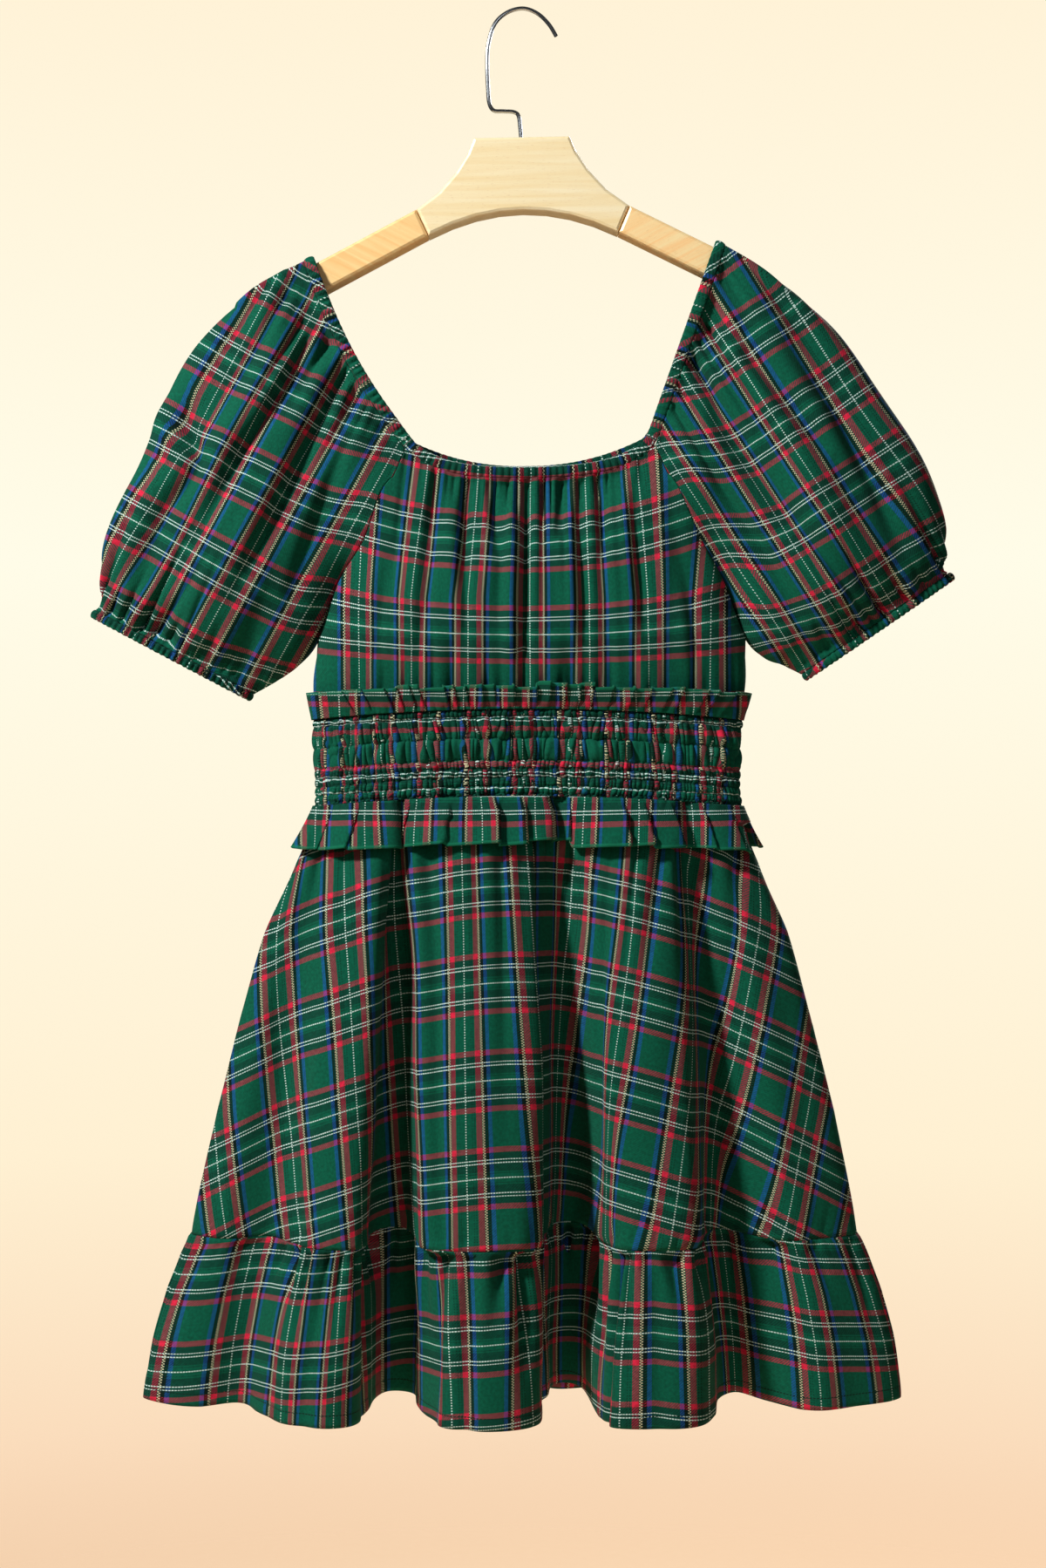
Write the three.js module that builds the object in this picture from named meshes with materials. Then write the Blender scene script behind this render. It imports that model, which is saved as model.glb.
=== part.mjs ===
// A plaid mini dress on a wooden hanger, in millimetres, +Z up. The front faces -Y, and left and
// right are as seen from the front. The origin is where a rail carries the hanger's hook.
// Every cloth piece is a thin wall: a grid of points on its middle surface, thickened both ways.
import * as THREE from "three";

// Cloth and seams
const CLOTH = 1.4;
const SEAM_GAP = 0.3;
const SMOCKED_CLOTH = 3.2;
const CASING = { halfWidth: 4, halfThickness: 1.3, sides: 6 };
const CASING_CORNER = 6;
const CUFF_CASING = { halfWidth: 3, halfThickness: 1.6, sides: 6 };

// Heights of the seams and edges below the hook
const FRONT_NECK_DIP = 22;
const BACK_NECK_DIP = 24;
const NECK_DIP_ROUNDING = { front: 2.6, back: 2 };
const UPPER_FRILL_TOP = -508;
const WAIST_TOP = -527;
const WAIST_BOTTOM = -592;
const LOWER_FRILL_FOOT = -627;
const SKIRT_SEAM = -923;
const HEM = -1050;

// The back hangs flatter than the front.
const BACK_SHARE = 0.72;

// Side seams, depth and how much lower the sides hang than the middle, at each height
const BODY = [
  { z: -477, left: -153, right: 166, front: 38, back: 23, drop: 0 },
  { z: -500, left: -157, right: 167, front: 34, back: 21, drop: 5 },
  { z: WAIST_TOP, left: -156, right: 163, front: 27, back: 19, drop: 8 },
  { z: -560, left: -155, right: 161, front: 26, back: 18, drop: 8 },
  { z: WAIST_BOTTOM, left: -155, right: 163, front: 27, back: 19, drop: 8 },
  { z: -635, left: -170, right: 176, front: 29, back: 22, drop: 7 },
  { z: -690, left: -194, right: 199, front: 30, back: 25, drop: 5 },
  { z: -755, left: -212, right: 216, front: 31, back: 28, drop: 3 },
  { z: -829, left: -230, right: 234, front: 32, back: 31, drop: 1 },
  { z: SKIRT_SEAM, left: -249, right: 251, front: 33, back: 34, drop: -2 },
  { z: -938, left: -256, right: 259, front: 33.5, back: 34.8, drop: -2.4 },
  { z: -966, left: -266, right: 269, front: 34, back: 36, drop: -3.5 },
  { z: -1005, left: -277, right: 279, front: 35, back: 37, drop: -4.5 },
  { z: HEM, left: -285, right: 284, front: 35, back: 38, drop: -6 },
];
const SIDE_ROUNDING = 2.6;

// Sleeve sections from the neckline to the cuff: the raglan seam or underarm edge (bodyX, bodyZ),
// the outer fold (outX, outZ) and how far the front puffs out.
const UNDERARM_SECTION = 4;
const SLEEVES = {
  left: [
    { bodyX: -88, bodyZ: -333, outX: -164.5, outZ: -191.5, puff: 18 },
    { bodyX: -102, bodyZ: -367, outX: -205, outZ: -214, puff: 26 },
    { bodyX: -117, bodyZ: -401, outX: -238, outZ: -250, puff: 33 },
    { bodyX: -139, bodyZ: -433, outX: -264, outZ: -296, puff: 38 },
    { bodyX: -155, bodyZ: -475, outX: -286, outZ: -343, puff: 39 },
    { bodyX: -169, bodyZ: -493, outX: -305, outZ: -382, puff: 35 },
    { bodyX: -184, bodyZ: -504, outX: -319, outZ: -424, puff: 26 },
    { bodyX: -203, bodyZ: -515, outX: -322, outZ: -452, puff: 15 },
  ],
  right: [
    { bodyX: 99, bodyZ: -330, outX: 152, outZ: -179.8, puff: 18 },
    { bodyX: 113, bodyZ: -364, outX: 185, outZ: -201, puff: 26 },
    { bodyX: 130, bodyZ: -397, outX: 219, outZ: -233, puff: 33 },
    { bodyX: 152, bodyZ: -434, outX: 253.5, outZ: -273, puff: 38 },
    { bodyX: 168, bodyZ: -473, outX: 283.5, outZ: -317, puff: 39 },
    { bodyX: 183, bodyZ: -488, outX: 306, outZ: -361, puff: 35 },
    { bodyX: 196, bodyZ: -493, outX: 321, outZ: -396.5, puff: 26 },
    { bodyX: 210, bodyZ: -500, outX: 321, outZ: -424, puff: 15 },
  ],
};
// The rows of each grid, by section. The raglan seam's rows are the same on both of its sides.
const RAGLAN_ROWS = [0, 0.4, 1, 1.7, 2.4, 3.1, UNDERARM_SECTION];
const SLEEVE_ROWS = [...RAGLAN_ROWS, 5, 6, 6.65, 7];
const BACK_NECK_RISE = 0.04;
// How far the neckline's straight run over the shoulder bows away from the neck
const NECK_BOW = { left: 7.5, right: 0 };
const SKIRT_ROWS = [0, 0.1, 0.28, 0.5, 0.75, 1];
const SLEEVE_TOP_ROUNDING = 6.5;
const SLEEVE_ROUNDING = 2.3;

// Fold lines of the front skirt and flounce from side to side: where each lies at the waist, at the
// flounce seam and at the hem, and how far it stands out of the hem's plain section.
const FRONT_FOLDS = [
  { waist: -155, seam: -249, hem: -285, out: 0 },
  { waist: -153, seam: -242, hem: -276, out: 0 },
  { waist: -150, seam: -222, hem: -248, out: 3 },
  { waist: -145, seam: -190, hem: -212, out: -10 },
  { waist: -139, seam: -169, hem: -190, out: 10 },
  { waist: -130, seam: -158, hem: -174, out: 30 },
  { waist: -114, seam: -138, hem: -149, out: 38 },
  { waist: -101, seam: -121, hem: -126, out: 33 },
  { waist: -96, seam: -114, hem: -115, out: 10 },
  { waist: -95, seam: -113, hem: -113, out: -22 },
  { waist: -92, seam: -101, hem: -102, out: -38 },
  { waist: -88, seam: -87, hem: -84, out: -33 },
  { waist: -85, seam: -79, hem: -74, out: -4 },
  { waist: -78, seam: -72, hem: -65, out: 26 },
  { waist: -48, seam: -44, hem: -38, out: 38 },
  { waist: -8, seam: -6, hem: -9, out: 37 },
  { waist: 13, seam: 12, hem: 10, out: 22 },
  { waist: 17, seam: 17, hem: 15, out: -10 },
  { waist: 19, seam: 21, hem: 20, out: -44 },
  { waist: 23, seam: 33, hem: 32, out: -54 },
  { waist: 30, seam: 47, hem: 46, out: -42 },
  { waist: 42, seam: 60, hem: 56, out: 2 },
  { waist: 58, seam: 71, hem: 66, out: 29 },
  { waist: 84, seam: 97, hem: 97, out: 38 },
  { waist: 105, seam: 123, hem: 127, out: 31 },
  { waist: 114, seam: 132, hem: 140, out: 5 },
  { waist: 117, seam: 138, hem: 147, out: -23 },
  { waist: 121, seam: 149, hem: 161, out: -33 },
  { waist: 129, seam: 168, hem: 183, out: -17 },
  { waist: 143, seam: 197, hem: 217, out: 5 },
  { waist: 154, seam: 223, hem: 250, out: 1 },
  { waist: 160, seam: 243, hem: 276, out: 0 },
  { waist: 163, seam: 251, hem: 284, out: 0 },
];
// How much of a fold's depth shows at each height
const FOLD_GROWTH = [
  { z: WAIST_BOTTOM, share: 0.14 },
  { z: -660, share: 0.3 },
  { z: -780, share: 0.52 },
  { z: SKIRT_SEAM, share: 0.78 },
  { z: HEM, share: 1 },
];
// A valley's seams and hem ride up by this share of its depth.
const VALLEY_LIFT = 0.2;
const BACK_FOLDS = { count: 6, depth: 6 };

// Gathers: how many waves a piece has from side to side, and how far they stand out
const NECK_GATHERS = { count: 15, depth: 1.3, reach: 0.3 };
const SLEEVE_GATHERS = { count: 9, depth: 2.2, reach: 0.22 };
const SLEEVE_FOLDS = { count: 4, depth: 4 };
const SMOCKING = { ribs: 22, depth: 1.1 };
const UPPER_FRILL = { waves: 9, depth: 2.5, flare: 4 };
const LOWER_FRILL = { waves: 8, depth: 4.5, flare: 9 };
const FLOUNCE_GATHERS = { count: 22, depth: 1.8 };

// The hanger: a yoke with two arms finger-jointed to it, and a wire hook with a cranked stem
const HANGER = {
  halfWidth: 184, depth: 20, bevel: 3, tilt: 0.018, centreX: -1, top: -97.6,
  yokeHalfTop: 36, jointTop: { x: 80, z: -53 }, jointFoot: { x: 71, z: -73 }, archTop: -55,
  slope: 0.512, tipRadius: 9,
};
const HOOK = { wireRadius: 1.5, sides: 4, steps: 40 };

const cloth = (roughness) => new THREE.MeshStandardMaterial({ color: 0x0f5c43, roughness, metalness: 0 });
const PLAID = cloth(0.9);
const CASING_CLOTH = cloth(0.95);
const BEECH = new THREE.MeshStandardMaterial({ color: 0xf3d9a8, roughness: 0.45, metalness: 0 });
const CHROME = new THREE.MeshStandardMaterial({ color: 0xc9ccd0, roughness: 0.15, metalness: 1 });

const lerp = (a, b, t) => a + (b - a) * t;
const clamp = (t) => Math.min(1, Math.max(0, t));
const smooth = (t) => clamp(t) ** 2 * (3 - 2 * clamp(t));
const steps = (n) => Array.from({ length: n + 1 }, (_, i) => i / n);
const wave = (t, count, phase = 0) => Math.sin(2 * Math.PI * (count * t + phase));

// A smooth curve through a table's column, where at is the row number, whole or not.
function column(table, key, at) {
  const last = table.length - 1;
  const i = Math.min(last - 1, Math.max(0, Math.floor(at)));
  const value = (k) => table[Math.min(last, Math.max(0, k))][key];
  const t = at - i;
  const [a, b, c, d] = [value(i - 1), value(i), value(i + 1), value(i + 2)];
  const first = (c - a) / 2;
  const second = (d - b) / 2;
  return b + t * (first + t * (3 * (c - b) - 2 * first - second + t * (2 * (b - c) + first + second)));
}

// The row number of a height in a table whose rows go down.
function rowAt(table, z) {
  const i = Math.min(table.length - 2, Math.max(0, table.findIndex((row) => row.z < z) - 1));
  const found = z <= table[table.length - 1].z ? table.length - 2 : i;
  return found + clamp((table[found].z - z) / (table[found].z - table[found + 1].z));
}

const bodyAt = (z) => {
  const at = rowAt(BODY, z);
  const keys = ["left", "right", "front", "back", "drop"];
  return Object.fromEntries(keys.map((key) => [key, column(BODY, key, at)]));
};

// The same number of points along a line, evenly spaced.
function evenly(points, count) {
  const lengths = [0];
  for (let i = 1; i < points.length; i++) lengths.push(lengths[i - 1] + points[i].distanceTo(points[i - 1]));
  const total = lengths[lengths.length - 1];
  let k = 0;
  return steps(count).map((share) => {
    while (k < points.length - 2 && lengths[k + 1] < share * total) k++;
    const t = (share * total - lengths[k]) / (lengths[k + 1] - lengths[k]);
    return points[k].clone().lerp(points[k + 1], clamp(t));
  });
}

// A grid's outward normals. Its columns run clockwise round the body seen from above, its rows down.
// At a side seam, which lies on the plane y = 0, they point straight sideways.
function normals(grid) {
  const last = grid[0].length - 1;
  return grid.map((row, j) =>
    row.map((p, i) => {
      const down = grid[Math.min(j + 1, grid.length - 1)][i].clone().sub(grid[Math.max(j - 1, 0)][i]);
      const normal = down.cross(row[Math.min(i + 1, last)].clone().sub(row[Math.max(i - 1, 0)]));
      if ((i === 0 || i === last) && Math.abs(p.y) < 1) normal.y = 0;
      return normal.normalize();
    }),
  );
}

// Moves a grid's points along its normals, by millimetres given for each share across and down.
function relieve(grid, height) {
  const out = normals(grid);
  return grid.map((row, j) =>
    row.map((p, i) => p.clone().addScaledVector(out[j][i], height(i / (row.length - 1), j / (grid.length - 1)))),
  );
}

// A closed wall from a grid. The relief, if any, raises the outer points alone.
function wall(name, grid, material, thickness = CLOTH, relief = () => 0) {
  const out = normals(grid);
  const rows = grid.length;
  const width = grid[0].length;
  const positions = [];
  for (const side of [1, -1])
    grid.forEach((row, j) =>
      row.forEach((p, i) => {
        const raised = side > 0 ? relief(i / (width - 1), j / (rows - 1)) : 0;
        p.clone().addScaledVector(out[j][i], (side * thickness) / 2 + raised).toArray(positions, positions.length);
      }),
    );
  const index = [];
  const inner = rows * width;
  const at = (i, j) => j * width + i;
  for (let j = 0; j < rows - 1; j++)
    for (let i = 0; i < width - 1; i++) {
      const [a, b, c, d] = [at(i, j), at(i + 1, j), at(i + 1, j + 1), at(i, j + 1)];
      index.push(a, d, b, b, d, c, inner + a, inner + b, inner + d, inner + b, inner + c, inner + d);
    }
  const rim = (p, q) => index.push(q, p, inner + p, q, inner + p, inner + q);
  for (let j = 0; j < rows - 1; j++) {
    rim(at(0, j), at(0, j + 1));
    rim(at(width - 1, j + 1), at(width - 1, j));
  }
  for (let i = 0; i < width - 1; i++) {
    rim(at(i + 1, 0), at(i, 0));
    rim(at(i, rows - 1), at(i + 1, rows - 1));
  }
  return meshOf(name, positions, index, material);
}

// A flat elastic casing along a closed line of points, each with the way its width points.
function casing(name, line, size, material) {
  const positions = [];
  const index = [];
  const count = line.length;
  line.forEach(({ point, up }, i) => {
    const along = line[(i + 1) % count].point.clone().sub(line[(i + count - 1) % count].point);
    const across = up.clone().addScaledVector(along, -up.dot(along) / along.lengthSq()).normalize();
    const out = along.cross(across).normalize();
    for (let k = 0; k < size.sides; k++) {
      const angle = (2 * Math.PI * k) / size.sides;
      point
        .clone()
        .addScaledVector(across, size.halfWidth * Math.cos(angle))
        .addScaledVector(out, size.halfThickness * Math.sin(angle))
        .toArray(positions, positions.length);
    }
  });
  for (let i = 0; i < count; i++)
    for (let k = 0; k < size.sides; k++) {
      const a = i * size.sides + k;
      const b = i * size.sides + ((k + 1) % size.sides);
      const c = ((i + 1) % count) * size.sides + ((k + 1) % size.sides);
      const d = ((i + 1) % count) * size.sides + k;
      index.push(a, b, d, b, c, d);
    }
  return meshOf(name, positions, index, material);
}

function meshOf(name, positions, index, material) {
  const geometry = new THREE.BufferGeometry();
  geometry.setAttribute("position", new THREE.Float32BufferAttribute(positions, 3));
  geometry.setIndex(index);
  const mesh = new THREE.Mesh(geometry, material);
  mesh.name = name;
  return mesh;
}

// Sleeves. Around goes from -1 at the front edge over 0, the outer fold, to 1 at the back edge.
const sleeveOpen = (section) => 1 - smooth((section - 0.7) / (UNDERARM_SECTION - 0.7));

function sleevePoint(side, around, section) {
  const value = (key) => column(SLEEVES[side], key, section);
  const open = sleeveOpen(section);
  const angle = (around * Math.PI) / 2;
  const power = 2 / lerp(SLEEVE_TOP_ROUNDING, SLEEVE_ROUNDING, smooth(section / 3));
  const flat = open * Math.max(0, Math.cos(angle)) ** power + (1 - open) * Math.cos(angle) ** 2;
  const rise = around > 0 ? BACK_NECK_RISE * clamp(1 - section / 2) : 0;
  const share = lerp(rise, 1, flat);
  const depth = open * Math.sign(around) * Math.abs(Math.sin(angle)) ** power + (1 - open) * Math.sin(2 * angle);
  const shallow = around > 0 ? lerp(1, BACK_SHARE, smooth(section / 3)) : 1;
  const [width, height] = [value("outX") - value("bodyX"), value("outZ") - value("bodyZ")];
  const bow = (NECK_BOW[side] * Math.sin(Math.PI * share) * clamp(1 - section / 2)) / Math.hypot(width, height);
  return new THREE.Vector3(
    value("bodyX") + width * share - bow * height,
    value("puff") * depth * shallow,
    value("bodyZ") + height * share + bow * width,
  );
}

// Where the sleeve's two edges end, short of each other below the underarm
const sleeveEnd = (section) => lerp(0.996, 1, sleeveOpen(section) ** 0.25);
const DENSE = 160;

function sleeveRow(side, section, count) {
  const line = steps(DENSE).map((t) => sleevePoint(side, sleeveEnd(section) * (2 * t - 1), section));
  return evenly(line, count);
}

function sleeveGrid(side, columns) {
  const last = SLEEVES[side].length - 1;
  const grid = SLEEVE_ROWS.map((section) => sleeveRow(side, section, columns));
  const turned = side === "left" ? grid.map((row) => row.reverse()) : grid;
  return relieve(turned, (u, row) => {
    const v = SLEEVE_ROWS[Math.round(row * (SLEEVE_ROWS.length - 1))] / last;
    const edge = Math.sin(Math.PI * u) ** 0.5;
    const neck = smooth(1 - v / SLEEVE_GATHERS.reach);
    const cuff = smooth((v - 1) / SLEEVE_GATHERS.reach + 1);
    const gathers = SLEEVE_GATHERS.depth * wave(u, SLEEVE_GATHERS.count) * (0.6 * neck + cuff);
    const folds = SLEEVE_FOLDS.depth * wave(u + 0.12 * v, SLEEVE_FOLDS.count) * Math.sin(Math.PI * v);
    return edge * (gathers * (v > 0.02 && v < 0.98 ? 1 : 0.35) + folds);
  });
}

// Bodice panels. Their side edges follow the sleeves' raglan seams down to the underarm.
function bodiceEdge(side, face, section) {
  const edge = sleevePoint(side, face * sleeveEnd(section), section);
  const inward = side === "left" ? 1 : -1;
  edge.x += inward * lerp(0.6, 2.6, 1 - sleeveOpen(section));
  return edge;
}

function bodiceGrid(face, columns) {
  const dip = face < 0 ? FRONT_NECK_DIP : BACK_NECK_DIP;
  const fromSleeves = RAGLAN_ROWS.map((section) => {
    const left = bodiceEdge("left", face, section);
    const right = bodiceEdge("right", face, section);
    const down = section / UNDERARM_SECTION;
    const belly = face < 0 ? lerp(22, 40, smooth(down * 1.4)) : lerp(15, 23, down);
    return bodiceRow(face, left, right, belly, sleeveOpen(section), dip * (1 - down) ** 2, columns);
  });
  const fromSides = [-500, WAIST_TOP + SEAM_GAP + 0.2].map((z) => {
    const body = bodyAt(z);
    const left = new THREE.Vector3(body.left, face * SEAM_GAP, z - body.drop);
    const right = new THREE.Vector3(body.right, face * SEAM_GAP, z - body.drop);
    return bodiceRow(face, left, right, face < 0 ? body.front : body.back, 0, -body.drop, columns);
  });
  const grid = [...fromSleeves, ...fromSides].map((row) => (face > 0 ? row.reverse() : row));
  return relieve(grid, (u, v) => {
    const neck = smooth(1 - v / NECK_GATHERS.reach) * (v > 0.02 ? 1 : 0.4);
    const folds = 0.8 * wave(u, 8, 0.2) * Math.sin(Math.PI * v);
    return NECK_GATHERS.depth * (neck * wave(u, NECK_GATHERS.count) + folds) * Math.sin(Math.PI * u) ** 0.5;
  });
}

function bodiceRow(face, left, right, belly, open, dip, columns) {
  const line = steps(DENSE).map((t) => {
    const across = -Math.cos(Math.PI * t);
    const edge = Math.max(Math.abs(left.y), Math.abs(right.y));
    const flat = 1 - across * across;
    const round = Math.max(0, 1 - Math.abs(across) ** SIDE_ROUNDING) ** (1 / SIDE_ROUNDING);
    const out = edge + (belly - edge) * lerp(round, flat, open);
    const share = (across + 1) / 2;
    const sag = dip * (1 - Math.abs(across) ** NECK_DIP_ROUNDING[face < 0 ? "front" : "back"]);
    return new THREE.Vector3(lerp(left.x, right.x, share), face * out, lerp(left.z, right.z, share) - sag);
  });
  return evenly(line, columns);
}

// A row of the body's plain section at one height, pushed out by some millimetres.
function bodyRow(face, z, out, columns) {
  const body = bodyAt(z);
  const half = (body.right - body.left) / 2 + out;
  const middle = (body.right + body.left) / 2;
  const depth = (face < 0 ? body.front : body.back) + out;
  const line = steps(DENSE).map((t) => {
    const across = -Math.cos(Math.PI * t);
    const round = Math.max(0, 1 - Math.abs(across) ** SIDE_ROUNDING) ** (1 / SIDE_ROUNDING);
    const low = z - body.drop * across * across;
    return new THREE.Vector3(middle + half * across, face * (SEAM_GAP + depth * round), low);
  });
  const row = evenly(line, columns);
  return face > 0 ? row.reverse() : row;
}

// The smocked band stands proud of the bodice and skirt, whose edges end against its own.
const BAND_OUT = 1.3;
const FRILL_OUT = 3;
const EDGE_GAP = 0.5;

function smockedBand(name, face) {
  const columns = 2 * SMOCKING.ribs;
  const heights = steps(3).map((t) => lerp(WAIST_TOP - EDGE_GAP, WAIST_BOTTOM + EDGE_GAP, t));
  const grid = heights.map((z) => bodyRow(face, z, BAND_OUT, columns));
  const rib = (u, v) => {
    const edge = v > 0 && v < 1 ? 1 : 0.5;
    return SMOCKING.depth * edge * (0.5 - 0.5 * Math.cos(2 * Math.PI * SMOCKING.ribs * u));
  };
  return wall(name, grid, PLAID, SMOCKED_CLOTH, rib);
}

// A frill leans away from the cloth it lies on, towards its free edge.
function frill(name, grid, size, away, phase) {
  const flared = relieve(grid, (u, v) => {
    const edge = Math.sin(Math.PI * u) ** 0.6;
    const lean = size.flare * lerp(1, 0.5, edge) + edge * size.depth * wave(u, size.waves, phase);
    return FRILL_OUT + away(v) * lean;
  });
  return wall(name, flared, PLAID);
}

function upperFrill(name, face, columns) {
  const heights = steps(2).map((t) => lerp(UPPER_FRILL_TOP, WAIST_TOP + EDGE_GAP, t));
  const grid = heights.map((z) => bodyRow(face, z, 0, columns));
  return frill(name, grid, UPPER_FRILL, (v) => 1 - v, face < 0 ? 0 : 0.4);
}

function lowerFrill(name, face, columns) {
  const heights = steps(2).map((t) => lerp(WAIST_BOTTOM - EDGE_GAP, LOWER_FRILL_FOOT, t));
  return frill(name, skirtGrid(face, heights, columns, 0), LOWER_FRILL, (v) => v, face < 0 ? 0 : 0.4);
}

// Skirt and flounce
const foldShare = (z) => column(FOLD_GROWTH, "share", rowAt(FOLD_GROWTH, z));

function foldX(at, z) {
  const waist = column(FRONT_FOLDS, "waist", at);
  const seam = column(FRONT_FOLDS, "seam", at);
  const hem = column(FRONT_FOLDS, "hem", at);
  const body = bodyAt(z);
  const start = bodyAt(z > SKIRT_SEAM ? WAIST_BOTTOM : SKIRT_SEAM);
  const end = bodyAt(z > SKIRT_SEAM ? SKIRT_SEAM : HEM);
  const span = (level) => level.right - level.left;
  const t = clamp((span(body) - span(start)) / (span(end) - span(start)));
  return z > SKIRT_SEAM ? lerp(waist, seam, t) : lerp(seam, hem, t);
}

function frontSkirtPoint(at, z, out) {
  const body = bodyAt(z);
  const half = (body.right - body.left) / 2;
  const middle = (body.right + body.left) / 2;
  const across = Math.min(1, Math.abs(foldX(at, z) - middle) / half);
  const round = Math.max(0, 1 - across ** SIDE_ROUNDING) ** (1 / SIDE_ROUNDING);
  const fold = column(FRONT_FOLDS, "out", at) * foldShare(z);
  const lift = VALLEY_LIFT * Math.max(0, -fold) * clamp((WAIST_BOTTOM - z) / 150);
  const x = middle + (foldX(at, z) - middle) * (1 + out / half);
  return new THREE.Vector3(x, -(SEAM_GAP + (body.front + out) * round + fold), z - body.drop * across ** 2 + lift);
}

// Places along the fold table that are evenly spaced at the hem.
function foldPlaces(columns) {
  const last = FRONT_FOLDS.length - 1;
  const dense = steps(last * 12).map((t) => t * last);
  const lengths = [0];
  for (let i = 1; i < dense.length; i++) {
    const step = frontSkirtPoint(dense[i], HEM, 0).distanceTo(frontSkirtPoint(dense[i - 1], HEM, 0));
    lengths.push(lengths[i - 1] + step);
  }
  const total = lengths[lengths.length - 1];
  let k = 0;
  return steps(columns).map((share) => {
    while (k < dense.length - 2 && lengths[k + 1] < share * total) k++;
    return lerp(dense[k], dense[k + 1], clamp((share * total - lengths[k]) / (lengths[k + 1] - lengths[k])));
  });
}

function skirtGrid(face, heights, columns, out) {
  if (face < 0) {
    const places = foldPlaces(columns);
    return heights.map((z) => places.map((at) => frontSkirtPoint(at, z, out)));
  }
  return heights.map((z) =>
    bodyRow(face, z, out, columns).map((p, i) => {
      const u = i / columns;
      const fold = BACK_FOLDS.depth * foldShare(z) * wave(u, BACK_FOLDS.count, 0.1) * Math.sin(Math.PI * u) ** 0.5;
      return p.add(new THREE.Vector3(0, fold, 0));
    }),
  );
}

function skirt(name, face, columns) {
  const heights = SKIRT_ROWS.map((t) => lerp(WAIST_BOTTOM - SEAM_GAP, SKIRT_SEAM + SEAM_GAP, t));
  return wall(name, skirtGrid(face, heights, columns, 0), PLAID);
}

function flounce(name, face, columns) {
  const heights = [0, 0.16, 0.5, 1].map((t) => lerp(SKIRT_SEAM - SEAM_GAP, HEM, t));
  const grid = skirtGrid(face, heights, columns, 1);
  const gathered = relieve(grid, (u, v) => {
    const near = [0.3, 1, 0.4, 0][Math.round(3 * v)];
    return FLOUNCE_GATHERS.depth * near * wave(u, FLOUNCE_GATHERS.count) * Math.sin(Math.PI * u) ** 0.5;
  });
  return wall(name, gathered, PLAID);
}

// The casing's line runs round the neck opening, just above the panels' top edges.
function neckLine(count) {
  const above = CASING.halfWidth + EDGE_GAP;
  const line = [];
  const add = (row, up) => {
    const first = row[0];
    const last = row[row.length - 1];
    for (const p of row)
      if (p.distanceTo(first) > CASING_CORNER && p.distanceTo(last) > CASING_CORNER)
        line.push({ point: p.clone().addScaledVector(up, above), up });
  };
  const sleevePart = (side, way) => {
    const up = new THREE.Vector3(side === "left" ? 1 : -1, 0, HANGER.slope);
    const row = sleeveRow(side, 0, 48);
    add(way > 0 ? row : row.toReversed(), up);
  };
  const up = new THREE.Vector3(0, 0, 1);
  sleevePart("left", -1);
  add(bodiceGrid(-1, 30)[0], up);
  sleevePart("right", 1);
  add(bodiceGrid(1, 30)[0], up);
  const points = new THREE.CatmullRomCurve3(line.map((entry) => entry.point), true, "centripetal");
  const ups = new THREE.CatmullRomCurve3(line.map((entry) => entry.up), true, "catmullrom", 0.5);
  return steps(count)
    .slice(0, -1)
    .map((t) => {
      const even = points.getUtoTmapping(t);
      return { point: points.getPoint(even), up: ups.getPoint(even).normalize() };
    });
}

function cuffLine(side, count) {
  const { bodyX, bodyZ, outX, outZ } = SLEEVES[side][SLEEVES[side].length - 1];
  const chord = new THREE.Vector3(outX - bodyX, 0, outZ - bodyZ).normalize();
  const down = new THREE.Vector3(-chord.z, 0, chord.x).multiplyScalar(side === "left" ? 1 : -1);
  const last = SLEEVES[side].length - 1;
  const loop = steps(DENSE).map((t) => sleevePoint(side, 2 * t - 1, last));
  const row = evenly(loop, count).slice(0, -1);
  const points = row.map((p) => p.addScaledVector(down, CUFF_CASING.halfWidth + EDGE_GAP));
  const turned = side === "left" ? points.reverse() : points;
  return turned.map((point) => ({ point, up: down.clone().negate() }));
}

// The hanger, drawn in its own frame from the middle of the yoke's top edge
function hangerSolid(name, outline) {
  const geometry = new THREE.ExtrudeGeometry(new THREE.Shape(outline), {
    depth: HANGER.depth - 2 * HANGER.bevel,
    bevelEnabled: true,
    bevelThickness: HANGER.bevel,
    bevelSize: HANGER.bevel * 0.8,
    bevelOffset: -HANGER.bevel * 0.8,
    bevelSegments: 2,
    curveSegments: 6,
  });
  geometry.translate(0, 0, HANGER.bevel - HANGER.depth / 2);
  geometry.rotateX(Math.PI / 2);
  const mesh = new THREE.Mesh(geometry, BEECH);
  mesh.name = name;
  return mesh;
}

function yoke() {
  const { yokeHalfTop, jointTop, jointFoot, archTop } = HANGER;
  const flank = [
    [yokeHalfTop, 0],
    [yokeHalfTop + 5, -12],
    [yokeHalfTop + 14, -26],
    [yokeHalfTop + 27, -40.5],
    [jointTop.x, jointTop.z],
  ];
  const arch = steps(8).map((t) => {
    const x = lerp(jointFoot.x, -jointFoot.x, t);
    return [x, archTop - (archTop - jointFoot.z) * (x / jointFoot.x) ** 2];
  });
  const outline = [...flank, ...arch, ...flank.toReversed().map(([x, z]) => [-x, z])];
  return hangerSolid("hanger_yoke", outline.toReversed().map(([x, z]) => new THREE.Vector2(x, z)));
}

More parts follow.
